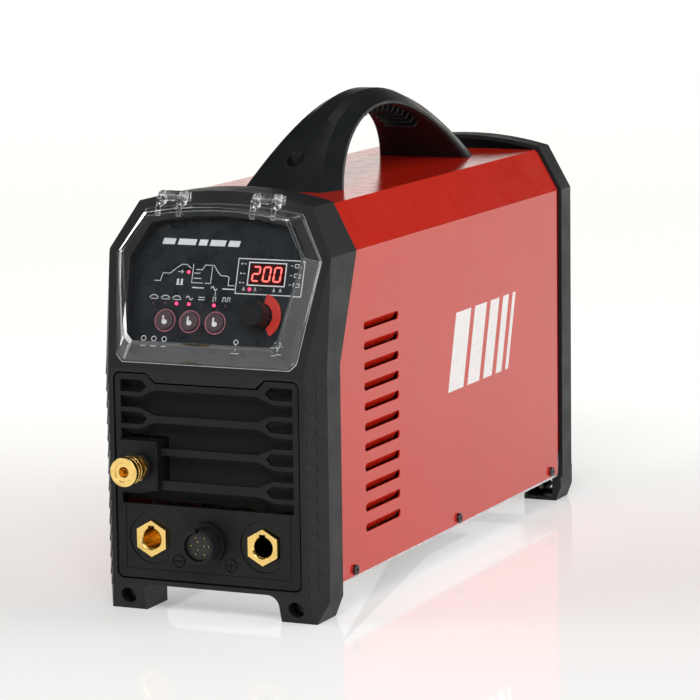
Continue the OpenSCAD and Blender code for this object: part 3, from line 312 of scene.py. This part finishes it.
MATERIALS = {
    "bezel": make_black_plastic("bezel_plastic", (0.0125, 0.0142, 0.0155), 0.42),
    "panel": make_black_plastic("panel_plastic", (0.0085, 0.0092, 0.0098), 0.48),
    "handle": make_black_plastic("handle_plastic", (0.0080, 0.0098, 0.0108), 0.36),
    "fittings": make_black_plastic("fitting_nylon", (0.0085, 0.0092, 0.0098), 0.34),
    "rubber": grained("rubber_black", (0.012, 0.012, 0.012), 0.6, depth=0.00008),
    "red": make_red_paint(),
    "zinc": make_zinc(),
    "brass": make_turned_metal("brass_turned", (0.86, 0.60, 0.20), 0.17),
    "steel": make_turned_metal("plated_steel", (0.62, 0.63, 0.65), 0.3),
    "screws": make_turned_metal("black_zinc_screws", (0.07, 0.065, 0.065), 0.32),
    "spring": make_turned_metal("spring_wire", (0.5, 0.5, 0.52), 0.28),
    "aluminium": grained("extruded_aluminium", (0.7, 0.71, 0.72), 0.34, 1.0, grain=500,
                         stretch=(1, 0.05, 1)),
    "copper": make_wound("copper_winding", (0.62, 0.25, 0.1), 0.32, 0.8),
    "strap": make_turned_metal("copper_strap", (0.75, 0.36, 0.2), 0.3),
    "fascia": grained("fascia_film", (0.0030, 0.0055, 0.0085), 0.30, spread=0.2, patch=30, grain=2400,
                      depth=0.00001, polish=0.05),
    "foam": grained("filter_foam", (0.0035, 0.0035, 0.0035), 0.9, patch=300, grain=1100, depth=0.0006),
    "board": make_board(),
    "button": grained("button_rubber", (0.05, 0.030, 0.034), 0.38, patch=200, grain=1600, depth=0.00003),
    "ring": grained("button_ring", (0.30, 0.10, 0.13), 0.4, patch=200, grain=1600, depth=0.00002),
    "print": grained("printed_white", (0.62, 0.64, 0.66), 0.45, spread=0.06, patch=200, grain=2500,
                     depth=0.000005),
    "decal": grained("decal_white", (0.86, 0.84, 0.83), 0.32, spread=0.03, patch=120, grain=2500,
                     depth=0.000005),
    "red_print": grained("printed_red", (0.50, 0.022, 0.012), 0.4, spread=0.08, patch=200, grain=2500,
                         depth=0.000005),
    "window": grained("display_filter", (0.035, 0.002, 0.003), 0.18, spread=0.1, patch=150, grain=2000,
                      depth=0.000005),
    "digit": make_glow("digit_light", (1.0, 0.12, 0.10), 2.6),
    "led_on": make_glow("led_lit", (1.0, 0.03, 0.09), 5.0),
    "led_off": grained("led_dark", (0.05, 0.016, 0.02), 0.25, patch=300, grain=2000, depth=0.00001),
    "clear": make_clear("clear_polycarbonate"),
    "hose": grained("gas_hose_rubber", (0.01, 0.03, 0.12), 0.5),
    "sleeve": grained("capacitor_sleeve", (0.012, 0.02, 0.07), 0.3),
    "ferrite": grained("ferrite_core", (0.06, 0.045, 0.035), 0.55),
    "pale": grained("pale_nylon", (0.7, 0.7, 0.62), 0.45),
    "rocker": grained("rocker_plastic", (0.42, 0.01, 0.008), 0.28),
}


# ---------------------------------------------------------------- making pieces

def add_piece(name, mesh, material, body):
    """Links a mesh as a piece that rides on a body and takes its finish from the script's table of materials.
    """
    piece = bpy.data.objects.new(name, mesh)
    bpy.context.scene.collection.objects.link(piece)
    piece.data.materials.clear()
    piece.data.materials.append(MATERIALS[material])
    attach(piece, body)
    return piece


def mesh_from(name, points, faces, smooth=False):
    """A mesh from its points and faces."""
    mesh = bpy.data.meshes.new(name)
    mesh.from_pydata([tuple(p) for p in points], [], faces)
    mesh.validate()
    for polygon in mesh.polygons:
        polygon.use_smooth = smooth
    return mesh


def face_outwards(mesh):
    """Turns every face of a closed mesh outwards."""
    work = bmesh.new()
    work.from_mesh(mesh)
    bmesh.ops.recalc_face_normals(work, faces=work.faces)
    work.to_mesh(mesh)
    work.free()


def round_edges(piece, width, segments=2, angle=28):
    """Rounds a piece's sharp edges and keeps its flat faces looking flat."""
    bevel = piece.modifiers.new("rounded_edges", "BEVEL")
    bevel.width = width * MM
    bevel.segments = segments
    bevel.limit_method = "ANGLE"
    bevel.angle_limit = math.radians(angle)
    bevel.use_clamp_overlap = True
    bevel.miter_outer = "MITER_ARC"
    normals = piece.modifiers.new("flat_faces", "WEIGHTED_NORMAL")
    normals.keep_sharp = True
    normals.weight = 80


def node_mesh(node):
    """A CAD node's surface with its faces joined up, as bmesh."""
    work = bmesh.new()
    work.from_mesh(frame["nodes"][node].data)
    bmesh.ops.remove_doubles(work, verts=work.verts, dist=0.000002)
    bmesh.ops.dissolve_limit(work, angle_limit=math.radians(0.5), verts=work.verts, edges=work.edges)
    return work


def soften(node, material, width, segments=2, angle=28, change=None):
    """Stands a piece with rounded edges in place of a CAD node. change may reshape its bmesh first."""
    work = node_mesh(node)
    if change is not None:
        change(work)
    mesh = bpy.data.meshes.new(node + "_skin")
    work.to_mesh(mesh)
    work.free()
    for polygon in mesh.polygons:
        polygon.use_smooth = True
    piece = add_piece(node + "_skin", mesh, material, BODY_OF[node])
    round_edges(piece, width, segments, angle)
    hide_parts(node)
    return piece


def paint(node, material):
    """Gives a CAD node that keeps its own mesh a finished material."""
    slots = frame["nodes"][node].data.materials
    for i in range(len(slots)):
        slots[i] = MATERIALS[material]


def strip_points(path, width):
    """The two sides of a flat line of constant width along a path in its plane."""
    left, right = [], []
    for i, (x, s) in enumerate(path):
        before = Vector(path[max(i - 1, 0)])
        after = Vector(path[min(i + 1, len(path) - 1)])
        here = Vector((x, s))
        into = (here - before).normalized() if i > 0 else (after - here).normalized()
        out = (after - here).normalized() if i < len(path) - 1 else into
        normal_in = Vector((-into.y, into.x))
        normal_out = Vector((-out.y, out.x))
        mitre = (normal_in + normal_out).normalized()
        reach = width / 2 / max(0.35, mitre.dot(normal_in))
        left.append(here + mitre * reach)
        right.append(here - mitre * reach)
    return left, right


class Print:
    """Flat ink shapes gathered into one thin mesh; place turns (x, height, s) into a point."""

    def __init__(self, place, thick):
        self.place = place
        self.thick = thick
        self.points = []
        self.faces = []

    def outline(self, corners):
        """A filled shape from its corners, with a top and a rim."""
        n = len(corners)
        first = len(self.points)
        for height in (0, self.thick):
            self.points += [self.place(x, height, s) for x, s in corners]
        self.faces.append([first + n + i for i in range(n)])
        self.faces.append([first + i for i in reversed(range(n))])
        self.faces += [[first + i, first + (i + 1) % n, first + n + (i + 1) % n, first + n + i]
                       for i in range(n)]

    def line(self, path, width):
        """A line of constant width with mitred corners."""
        left, right = strip_points(path, width)
        for i in range(len(path) - 1):
            self.outline([left[i], right[i], right[i + 1], left[i + 1]])

    def box(self, x, s, w, h, width):
        """The outline of a rectangle centred on (x, s)."""
        half = width / 2
        for side in (-1, 1):
            self.line([(x - w / 2 - half, s + side * h / 2), (x + w / 2 + half, s + side * h / 2)], width)
            self.line([(x + side * w / 2, s - h / 2), (x + side * w / 2, s + h / 2)], width)

    def disc(self, x, s, r, n=20):
        """A filled circle."""
        self.outline([(x + r * math.cos(a), s + r * math.sin(a)) for a in turns(n)])

    def ring(self, x, s, r, width, n=32):
        """A circle drawn as a line."""
        angles = [2 * math.pi * i / n for i in range(n + 1)]
        self.line([(x + r * math.cos(a), s + r * math.sin(a)) for a in angles], width)

    def finish(self, name, material, body):
        """Makes the gathered shapes one piece."""
        mesh = mesh_from(name, self.points, self.faces)
        face_outwards(mesh)
        return add_piece(name, mesh, material, body)


def turns(n):
    """n angles once round a circle."""
    return [2 * math.pi * i / n for i in range(n)]


# ---------------------------------------------------------------- case

def make_corner_grips():
    """Two columns of low overlapping scales moulded into the facet up each front corner."""
    start, end = Vector((70.3, 0)), Vector((80, 15.4))
    out = Vector((end.y - start.y, -(end.x - start.x))).normalized()
    pitch, rows, first_z = 11.2, 13, 14
    columns = ((0.08, 0.50), (0.50, 0.92))
    rise, sunk = 0.75, 0.05
    for side, name in ((1, "right_corner_grip"), (-1, "left_corner_grip")):
        points, faces = [], []
        for i in range(rows):
            for column, (u0, u1) in enumerate(columns):
                low = first_z + (i + 0.5 * column) * pitch
                high = low + pitch
                first = len(points)
                # each corner's place across the facet, its height and how far it stands out
                corners = ((u0, low + 2.2, 0), (u1, low, 0), (u1, high, 0), (u0, high + 2.2, 0),
                           (u0 + 0.04, low + 3.4, rise), (u1 - 0.04, low + 1.2, rise))
                for u, z, lift in corners:
                    flat = start + (end - start) * u + out * (lift - sunk)
                    points.append(at(side * flat.x, flat.y, z))
                for corner in ((0, 1, 5, 4), (4, 5, 2, 3), (1, 2, 5), (0, 4, 3), (3, 2, 1, 0)):
                    face = tuple(first + k for k in corner)
                    faces.append(face if side > 0 else face[::-1])
        piece = add_piece(name, mesh_from(name, points, faces), "bezel", "case")
        round_edges(piece, 0.25, 2)


def joggle_cover(work):
    """Steps the rear end of the cover's sheet inwards, where it slips behind the rear bezel."""
    hem_y, depth = 430.5, 1.7
    side_x, chamfer_x, roof_z = 75.5 * MM, 58 * MM, 230 * MM
    for y in (hem_y, hem_y + 1.6):
        cut = at(0, y, 0)
        bmesh.ops.bisect_plane(work, geom=work.verts[:] + work.edges[:] + work.faces[:], dist=1e-7,
                               plane_co=cut, plane_no=(0, 1, 0))
    for vert in work.verts:
        if vert.co.y > at(0, hem_y + 1, 0).y:
            if abs(vert.co.x) > side_x:
                vert.co.x -= math.copysign(depth * MM, vert.co.x)
            elif vert.co.z > roof_z:
                vert.co.z -= depth * MM
                if abs(vert.co.x) > chamfer_x:
                    vert.co.x -= math.copysign(depth * 0.5 * MM, vert.co.x)


def make_side_stripes():
    """Generic slanted stripes printed on both sides of the cover."""
    x = 78.5
    first_y, last_y, z0, z1 = 219, 347, 118, 172
    slant = 16
    count = 5
    gap = 7.5
    for side, name in ((1, "right_side_stripes"), (-1, "left_side_stripes")):
        art = Print(lambda y, height, z, side=side: at(side * (x + height), y, z), 0.06)
        span = last_y - first_y - slant
        unit = (span - gap * (count - 1)) / sum(range(1, count + 1))
        y = first_y
        for i in range(count):
            w = unit * (count - i)
            art.outline([(y, z0), (y + w, z0), (y + w + slant, z1), (y + slant, z1)])
            y += w + gap
        art.finish(name, "decal", "case")


# The handle's arch: its middle and foot height, half its length, its rise, its thickness at the feet and at
# the top, and where its screws sit.
HANDLE_Y, HANDLE_Z = 254, 266.5
HANDLE_HALF, HANDLE_RISE = 133, 59
HANDLE_FOOT, HANDLE_BAND = 26, 12
HANDLE_SCREW_Y = (142.5, 369.5)


def arch_point(half, rise, u):
    """A point (y, z) on an arch of the handle; u runs from -1 at its front end to 1 at its rear end."""
    r = (half * half + rise * rise) / (2 * rise)
    a = u * math.asin(half / r)
    return Vector((HANDLE_Y + r * math.sin(a), HANDLE_Z + rise - r + r * math.cos(a)))


def handle_width(z):
    """Half the handle's width at a height: flared at the feet, slim at the top."""
    base, top = 35.5, 16
    return top + (base - top) * max(0.0, 1 - (z - HANDLE_Z) / HANDLE_RISE) ** 1.25


def carve(mesh, cutters):
    """The mesh with the cutters' meshes cut out of it."""
    helper = bpy.data.objects.new("carved", mesh)
    bpy.context.scene.collection.objects.link(helper)
    tools = []
    for cutter in cutters:
        tool = bpy.data.objects.new("cutter", cutter)
        bpy.context.scene.collection.objects.link(tool)
        cut = helper.modifiers.new("cut", "BOOLEAN")
        cut.operation = "DIFFERENCE"
        cut.solver = "EXACT"
        cut.object = tool
        tools.append(tool)
    bpy.context.view_layer.update()
    carved = bpy.data.meshes.new_from_object(helper.evaluated_get(bpy.context.evaluated_depsgraph_get()))
    for extra in (helper, *tools):
        bpy.data.objects.remove(extra)
    return carved


def upright_cylinder(x, y, z0, z1, r, n=32):
    """A closed cylinder's mesh that stands on z0 and reaches z1."""
    points = [at(x + r * math.cos(a), y + r * math.sin(a), z) for z in (z0, z1) for a in turns(n)]
    faces = [(i, (i + 1) % n, n + (i + 1) % n, n + i) for i in range(n)]
    faces += [tuple(reversed(range(n))), tuple(range(n, 2 * n))]
    return mesh_from("cylinder", points, faces)


def make_handle():
    """The arched handle: a deep-chamfered section swept from foot to foot, with its screw recesses."""
    steps, n = 56, 10
    points, faces = [], []
    for i in range(steps + 1):
        u = 2 * i / steps - 1
        outer = arch_point(HANDLE_HALF, HANDLE_RISE, u)
        inner = arch_point(HANDLE_HALF - HANDLE_FOOT, HANDLE_RISE - HANDLE_BAND, u)
        wide_out, wide_in = handle_width(outer.y), handle_width(inner.y)
        chamfer = 5.5 + 1.2 * abs(u)
        crown = 0.22 * (1 - abs(u) ** 1.5)
        flank = wide_out * 0.25 + wide_in * 0.75
        # half the section from its crown to its inner edge, as x and the share of the way from outer to inner
        half = [(wide_out * 0.35, 0.0), (wide_out - chamfer, crown), (flank, 0.74), (wide_in - 0.4, 0.9),
                (wide_in - 2.2, 1.0)]
        section = half + [(-x, depth) for x, depth in reversed(half)]
        for x, depth in section:
            y, z = outer.lerp(inner, depth)
            points.append(at(x, y, z))
    for i in range(steps):
        for k in range(n):
            a, b = i * n + k, i * n + (k + 1) % n
            faces.append((a, b, b + n, a + n))
    faces += [tuple(reversed(range(n))), tuple(steps * n + k for k in range(n))]
    mesh = mesh_from("handle_skin", points, faces, True)
    face_outwards(mesh)
    recess_r, recess_z, above_z = 5.6, 273, 310
    recesses = [upright_cylinder(0, y, recess_z, above_z, recess_r) for y in HANDLE_SCREW_Y]
    mesh = carve(mesh, recesses)
    for polygon in mesh.polygons:
        polygon.use_smooth = True
    handle = add_piece("handle_skin", mesh, "handle", "case")
    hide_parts("handle")
    round_edges(handle, 2.2, 3, 16)


def make_handle_ribs():
    """Tapered ribs across the underside of the grip."""
    count, reach = 17, 0.60
    buried = 0.8
    half_x, half_t, deep = 13.5, 1.2, 4.6
    points, faces = [], []
    for i in range(count):
        u = reach * (2 * i / (count - 1) - 1)
        root = arch_point(HANDLE_HALF - HANDLE_FOOT, HANDLE_RISE - HANDLE_BAND, u)
        beside = arch_point(HANDLE_HALF - HANDLE_FOOT, HANDLE_RISE - HANDLE_BAND, u + 0.01)
        along = (beside - root).normalized()
        down = Vector((along.y, -along.x))
        first = len(points)
        for depth in (-buried, deep):
            slim = half_t if depth < 0 else half_t * 0.6
            wide = half_x if depth < 0 else half_x - 2
            for x, t in ((-wide, -slim), (wide, -slim), (wide, slim), (-wide, slim)):
                spot = root + along * t + down * depth
                points.append(at(x, *spot))
        faces += [(first, first + 1, first + 2, first + 3), (first + 7, first + 6, first + 5, first + 4)]
        for k in range(4):
            after = (k + 1) % 4
            faces.append((first + k, first + 4 + k, first + 4 + after, first + after))
    mesh = mesh_from("handle_ribs", points, faces)
    face_outwards(mesh)
    round_edges(add_piece("handle_ribs", mesh, "handle", "case"), 0.5)


def make_case():
    """The housing: bezels, panels, cover, handle and floor pan."""
    soften("front_bezel", "bezel", 0.9)
    soften("rear_bezel", "bezel", 0.9)
    soften("front_panel", "panel", 0.45)
    soften("top_cover", "red", 0.35, change=joggle_cover)
    make_handle()
    make_handle_ribs()
    soften("gas_boss", "panel", 0.6)
    soften("base_pan", "zinc", 0.3)
    soften("rear_panel", "panel", 0.3)
    make_corner_grips()
    make_side_stripes()


# ---------------------------------------------------------------- front fittings

def make_front_fittings():
    """The weld sockets, the control connector and the gas coupling."""
    for node in ("minus_collar", "plus_collar"):
        soften(node, "fittings", 0.35)
    for node in ("minus_socket", "plus_socket"):
        soften(node, "brass", 0.35)
    soften("connector_shell", "fittings", 0.3)
    soften("connector_insert", "rubber", 0.15)
    soften("connector_pins", "brass", 0.1)
    soften("gas_coupling_body", "brass", 0.3)
    soften("gas_coupling_sleeve", "brass", 0.4, 3)


# ---------------------------------------------------------------- control face

# Places on the leaning face, as x and height up the slope: lit and dark lamps, buttons and the display.
LED_ROW_S = 44.3
LIT = ((-29.3, LED_ROW_S), (-20.3, LED_ROW_S), (-2.1, LED_ROW_S), (-23.2, 65.5), (22, 56))
DARK = ((-46, LED_ROW_S), (-37.6, LED_ROW_S), (-11.6, LED_ROW_S), (6.5, LED_ROW_S), (30, 56))
BUTTON_X = (-36, -18, 0.4)
BUTTON_S = 32.8
DISPLAY = (33.2, 66.3)


def make_leds():
    """Domed lenses over the row of indicator lamps, some of them lit."""
    for name, spots, material in (("lit_leds", LIT, "led_on"), ("dark_leds", DARK, "led_off")):
        points, faces = [], []
        rings, sides, r = 4, 20, 1.05
        dome, base_out, stem_end = r * 0.6, 0.1, -4
        for x, s in spots:
            first = len(points)
            for k in range(rings):
                a = math.pi / 2 * k / rings
                points += [on_slope(x + r * math.cos(a) * math.cos(t), dome * math.sin(a) + base_out,
                                    s + r * math.cos(a) * math.sin(t)) for t in turns(sides)]
            points += [on_slope(x, dome + base_out, s)]
            top = len(points) - 1
            for k in range(rings - 1):
                for i in range(sides):
                    j = (i + 1) % sides
                    faces.append((first + k * sides + i, first + k * sides + j,
                                  first + (k + 1) * sides + j, first + (k + 1) * sides + i))
            last = first + (rings - 1) * sides
            faces += [(last + i, last + (i + 1) % sides, top) for i in range(sides)]
            points += [on_slope(x + r * math.cos(t), stem_end, s + r * math.sin(t)) for t in turns(sides)]
            base = len(points) - sides
            faces += [(base + i, base + (i + 1) % sides, first + (i + 1) % sides, first + i)
                      for i in range(sides)]
            faces.append(tuple(base + i for i in reversed(range(sides))))
        piece = add_piece(name, mesh_from(name, points, faces, True), material, "case")
        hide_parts("status_leds")


def segment(art, x, s, w, h, which, thick):
    """One bar of a seven-segment digit whose lower left corner is at (x, s)."""
    lean = 0.08 * h
    ends = {"top": ((0, h), (w, h)), "middle": ((0, h / 2), (w, h / 2)), "bottom": ((0, 0), (w, 0)),
            "upper_left": ((0, h / 2), (0, h)), "upper_right": ((w, h / 2), (w, h)),
            "lower_left": ((0, 0), (0, h / 2)), "lower_right": ((w, 0), (w, h / 2))}[which]
    (x0, s0), (x1, s1) = [(x + a + lean * b / h, s + b) for a, b in ends]
    along = Vector((x1 - x0, s1 - s0)).normalized()
    across = Vector((-along.y, along.x)) * thick / 2
    a = Vector((x0, s0)) + along * thick * 0.62
    b = Vector((x1, s1)) - along * thick * 0.62
    tip = along * thick * 0.45
    art.outline([a + across, a - tip, a - across, b - across, b + tip, b + across])


def make_display():
    """Dark red filter window with three lit digits, inside two printed frames."""
    window = soften("display_window", "window", 0.3)
    window.name = "display_filter"
    digits = Print(lambda x, height, s: on_slope(x, 0.32 + height, s), 0.05)
    w, h, thick, pitch = 4.7, 9.3, 1.05, 7.6
    shapes = ({"top", "upper_right", "middle", "lower_left", "bottom"},
              {"top", "upper_left", "upper_right", "lower_left", "lower_right", "bottom"},
              {"top", "upper_left", "upper_right", "lower_left", "lower_right", "bottom"})
    for i, shape in enumerate(shapes):
        for which in sorted(shape):
            x = DISPLAY[0] - pitch - w / 2 - 0.3 + i * pitch
            segment(digits, x, DISPLAY[1] - h / 2, w, h, which, thick)
    digits.finish("display_digits", "digit", "case")


# Width of the thinnest printed lines.
HAIR = 0.42


def print_current_curve(art):
    """The stepped diagram of the weld current on the left of the face."""
    rise = [(-47.5, 59), (-43, 59), (-41.8, 64.2), (-36.5, 64.2), (-31.5, 68.4), (-28.5, 70.4), (-25, 70.4),
            (-21.5, 68)]
    stand = [(-20.2, 71), (-20.2, 58.6), (-12, 58.6)]
    fall = [(-18, 67.4), (-13.4, 67.4), (-11.6, 70.6), (-5.2, 70.6), (-2.4, 66.8), (0.6, 64), (4.4, 64),
            (6.4, 63.2), (6.4, 57.8), (11, 57.8)]
    for path in (rise, stand, fall):
        art.line(path, HAIR)
    art.line([(-31, 65.5), (-27, 65.5)], HAIR)
    art.line([(-28.4, 64.5), (-27, 65.5), (-28.4, 66.5)], HAIR)
    for s, right in ((61.6, -13.6), (65, -14.6)):
        art.line([(-19.2, s), (right, s)], HAIR)
    art.line([(-6.4, 69.8), (-6.4, 58.6), (-10.6, 58.6)], HAIR)
    art.line([(-31.4, 57), (-26.2, 57)], HAIR)
    for x in (-30.2, -27.4):
        art.outline([(x - 0.75, 57.2), (x + 0.75, 57.2), (x + 0.75, 60.8), (x - 0.75, 60.8)])
    for x in (-19.4, 2.6):
        art.line([(x, 55.4), (x + 8.6, 55.4)], 0.7)
    print_wave(art, -5.6, 55.4, 4.4, 10, 0.6)
    art.line([(-2.1, 53.4), (-2.1, 50.8)], HAIR)


def print_wave(art, x, s, w, steps, width):
    """One period of a sine wave that starts at (x, s)."""
    height = 1.2
    art.line([(x + w * k / steps, s + height * math.sin(2 * math.pi * k / steps)) for k in range(steps + 1)],
             width)


def print_display_frames(art):
    """The display's two frames, with lamp marks and small boxes between them."""
    art.box(*DISPLAY, 26.4, 15.0, 0.75)
    left, right, low, high = 12, 57.6, 52.9, 76
    art.box((left + right) / 2, (low + high) / 2, right - left, high - low, 0.6)
    for s in (72.6, 66.3, 60.2):
        art.disc(14.6, s, 0.55)
        art.line([(16, s), (17.8, s)], HAIR)
        art.box(54, s, 2.6, 2.2, HAIR)
        art.line([(49.6, s), (51.2, s)], HAIR)
    for x in (17.8, 26, 39.4, 44):
        art.line([(x - 0.8, 54.9), (x, 57), (x + 0.8, 54.9)], HAIR)


def print_mode_symbols(art):
    """Symbols over the row of lamps: ramps, a wave, a double bar and trigger pulses."""
    s = 48.4
    for x in (-46, -37.6, -29.3):
        art.line([(x - 3.4, s - 0.6), (x - 1.4, s + 1), (x + 1, s + 1), (x + 3, s - 0.6)], 0.5)
        art.line([(x - 2.6, s - 1.4), (x + 3, s - 1.4)], HAIR)
    print_wave(art, -22.6, s, 4.6, 12, 0.5)
    for lift in (-0.8, 0.8):
        art.line([(-13.9, s + lift), (-9.3, s + lift)], 0.5)
    for x, pulses in ((-2.1, 1), (6.5, 2)):
        for k in range(pulses):
            x0 = x - 1.6 * pulses + k * 3.2
            art.line([(x0, s - 1.3), (x0 + 0.6, s - 1.3), (x0 + 0.6, s + 1.3), (x0 + 2.4, s + 1.3),
                      (x0 + 2.4, s - 1.3)], HAIR)


def print_title_bars(art):
    """A row of plain slanted bars in place of a title."""
    x, low, high, gap = -45, 83.4, 87.4, 2.2
    for width in (9, 13, 6, 11, 8):
        art.outline([(x, low), (x + width, low), (x + width + 1, high), (x + 1, high)])
        x += width + gap


def print_bottom_marks(art):
    """Small rings with bars along the bottom of the face."""
    for x in (-50, -42.5, -35):
        art.ring(x, 20.4, 1.6, 0.5, 16)
        art.line([(x - 1.8, 17.4), (x + 1.8, 17.4)], 0.5)
    for x in (17, 46):
        art.ring(x, 21, 1.5, 0.5, 16)
        art.line([(x, 19.4), (x, 17.2)], 0.5)
        art.line([(x - 3, 15.2), (x + 3, 15.2)], HAIR)


def make_face_print():
    """White lines and generic symbols printed on the fascia."""
    art = Print(lambda x, height, s: on_slope(x, 0.02 + height, s), 0.05)
    print_current_curve(art)
    print_display_frames(art)
    print_mode_symbols(art)
    print_title_bars(art)
    print_bottom_marks(art)
    art.finish("face_print", "print", "case")


def make_finger(art, x, s):
    """A pointing finger over a closed hand, drawn as rounded blobs."""
    tip = [(x - 0.9 + 0.62 * math.cos(a), s + 2.6 + 0.62 * math.sin(a)) for a in turns(16)[:9]]
    art.outline([(x - 0.28, s - 0.6), *tip, (x - 1.52, s - 0.6)])
    palm = [(x + 0.25 + 1.9 * math.cos(a), s - 1.1 + 1.65 * math.sin(a)) for a in turns(24)]
    art.outline(palm)


def make_buttons():
    """Soft buttons with a printed finger and a tinted rim round each."""
    cap_out, rim_r, rim_w = 1.62, 7.2, 0.8
    rims = Print(lambda x, height, s: on_slope(x, 0.02 + height, s), 0.25)
    for x, node in zip(BUTTON_X, ("left_button", "middle_button", "right_button")):
        soften(node, "button", 0.7, 3)
        art = Print(lambda u, height, s: on_slope(u, cap_out + height, s), 0.05)
        make_finger(art, x, BUTTON_S)
        art.finish(node + "_symbol", "print", node)
        rims.ring(x, BUTTON_S, rim_r, rim_w)
    rims.finish("button_rims", "ring", "case")


def make_control_face():
    """The leaning face with its print, lamps, display, knob and buttons, under the clear lid."""
    soften("control_fascia", "fascia", 0.15)
    soften("knob_ring", "red_print", 0.1)
    soften("control_knob", "fittings", 0.35)
    make_leds()
    make_display()
    make_face_print()
    make_buttons()
    soften("clear_cover", "clear", 0.45, 2, 20)
    soften("hinge_arms", "clear", 0.4)
    soften("hinge_clips", "clear", 0.4)


# ---------------------------------------------------------------- rear and inside

def make_rear():
    """The fan, the switch and the fittings on the rear panel."""
    soften("fan_grille", "steel", 0.25)
    soften("fan_rotor", "fittings", 0.3)
    soften("switch_body", "fittings", 0.4)
    soften("switch_rocker", "rocker", 0.5)
    soften("cable_gland", "fittings", 0.5)
    soften("gas_inlet", "brass", 0.35)


def paint_rest():
    """The nodes that keep their CAD mesh."""
    finishes = {
        "screws": ("cover_screws", "bezel_screws", "handle_screws", "fan_screws"),
        "steel": ("board_standoffs", "encoder_bush", "encoder_shaft"),
        "clear": ("hinge_pins",),
        "spring": ("gas_coupling_spring",),
        "brass": ("socket_nuts",),
        "zinc": ("front_bulkhead",),
        "foam": ("dust_filter",),
        "board": ("control_board", "power_board"),
        "fittings": ("fan_frame", "gland_nut", "gas_valve"),
        "window": ("display_module",),
        "pale": ("encoder_plunger",),
        "hose": ("gas_hose",),
        "aluminium": ("heat_sinks",),
        "sleeve": ("capacitors",),
        "ferrite": ("transformer", "ignition_coil"),
        "copper": ("output_choke",),
        "strap": ("busbars",),
    }
    for material, nodes in finishes.items():
        for node in nodes:
            paint(node, material)


# ---------------------------------------------------------------- stage

def make_camera():
    """Looks at the machine from the right of its front, a little above."""
    place, target = Vector((0.9990, -2.1992, 0.5251)), Vector((0.0354, -0.0742, 0.1563))
    roll = math.radians(-0.8)
    data = bpy.data.cameras.new("camera")
    data.sensor_width = 36
    data.lens = 178.7
    data.clip_end = 50
    camera = bpy.data.objects.new("camera", data)
    bpy.context.scene.collection.objects.link(camera)
    turn = (target - place).to_track_quat("-Z", "Y").to_matrix() @ Matrix.Rotation(roll, 3, "Z")
    camera.matrix_world = Matrix.LocRotScale(place, turn.to_quaternion(), None)
    bpy.context.scene.camera = camera


def make_floor():
    """A wide white glossy floor, faintly lit from below like a light table."""
    radius, sides = 12.0, 48
    corners = [(math.cos(a) * radius, math.sin(a) * radius, 0) for a in turns(sides)]
    material, tree, shader, place = new_material("pale_floor", (0.84, 0.84, 0.83), 0.04)
    shader.inputs["IOR"].default_value = 1.38
    shader.inputs["Emission Color"].default_value = (1.0, 0.99, 0.98, 1)
    shader.inputs["Emission Strength"].default_value = 0.32
    soft = noise(tree, place, 1.5, 2)
    tree.links.new(blend_colour(tree, soft, (0.90, 0.90, 0.89), (0.94, 0.94, 0.93)),
                   shader.inputs["Base Color"])
    tree.links.new(ramp(tree, noise(tree, place, 5), 0.03, 0.05), shader.inputs["Roughness"])
    floor = bpy.data.objects.new("floor", mesh_from("floor", corners, [list(range(sides))]))
    floor.data.materials.append(material)
    bpy.context.scene.collection.objects.link(floor)


def add_area(name, place, target, size, power):
    """A white soft box that faces a target; its power is in watts."""
    data = bpy.data.lights.new(name, "AREA")
    data.shape = "RECTANGLE"
    data.size, data.size_y = size
    data.energy = power
    light = bpy.data.objects.new(name, data)
    bpy.context.scene.collection.objects.link(light)
    light.location = place
    light.rotation_euler = (Vector(target) - Vector(place)).to_track_quat("-Z", "Y").to_euler()


def make_light():
    """A warm white horizon that darkens overhead, with four soft boxes."""
    world = bpy.data.worlds.new("studio")
    bpy.context.scene.world = world
    world.use_nodes = True
    tree = world.node_tree
    sky = tree.nodes["Background"]
    sky.inputs["Color"].default_value = (1, 0.97, 0.93, 1)
    split = tree.nodes.new("ShaderNodeSeparateXYZ")
    tree.links.new(tree.nodes.new("ShaderNodeTexCoord").outputs["Generated"], split.inputs[0])
    level = ramp(tree, split.outputs["Z"], 1.15, 0.05, 0.17, 0.22)
    tree.links.new(level, sky.inputs["Strength"])
    add_area("key", (-1.9, -1.3, 1.6), (0, 0, 0.15), (1.2, 1.0), 14)
    add_area("front", (0.7, -1.9, 1.7), (0.5, -1.0, 0), (1.4, 1.0), 34)
    add_area("side", (2.1, 0.5, 1.0), (0, 0.1, 0.15), (1.2, 1.4), 17)
    add_area("top", (0.1, 0.3, 2.0), (0, 0, 0.2), (1.0, 1.6), 6)
    bpy.context.scene.view_settings.view_transform = "Standard"


make_camera()
make_floor()
make_light()
make_case()
make_front_fittings()
make_control_face()
make_rear()
paint_rest()
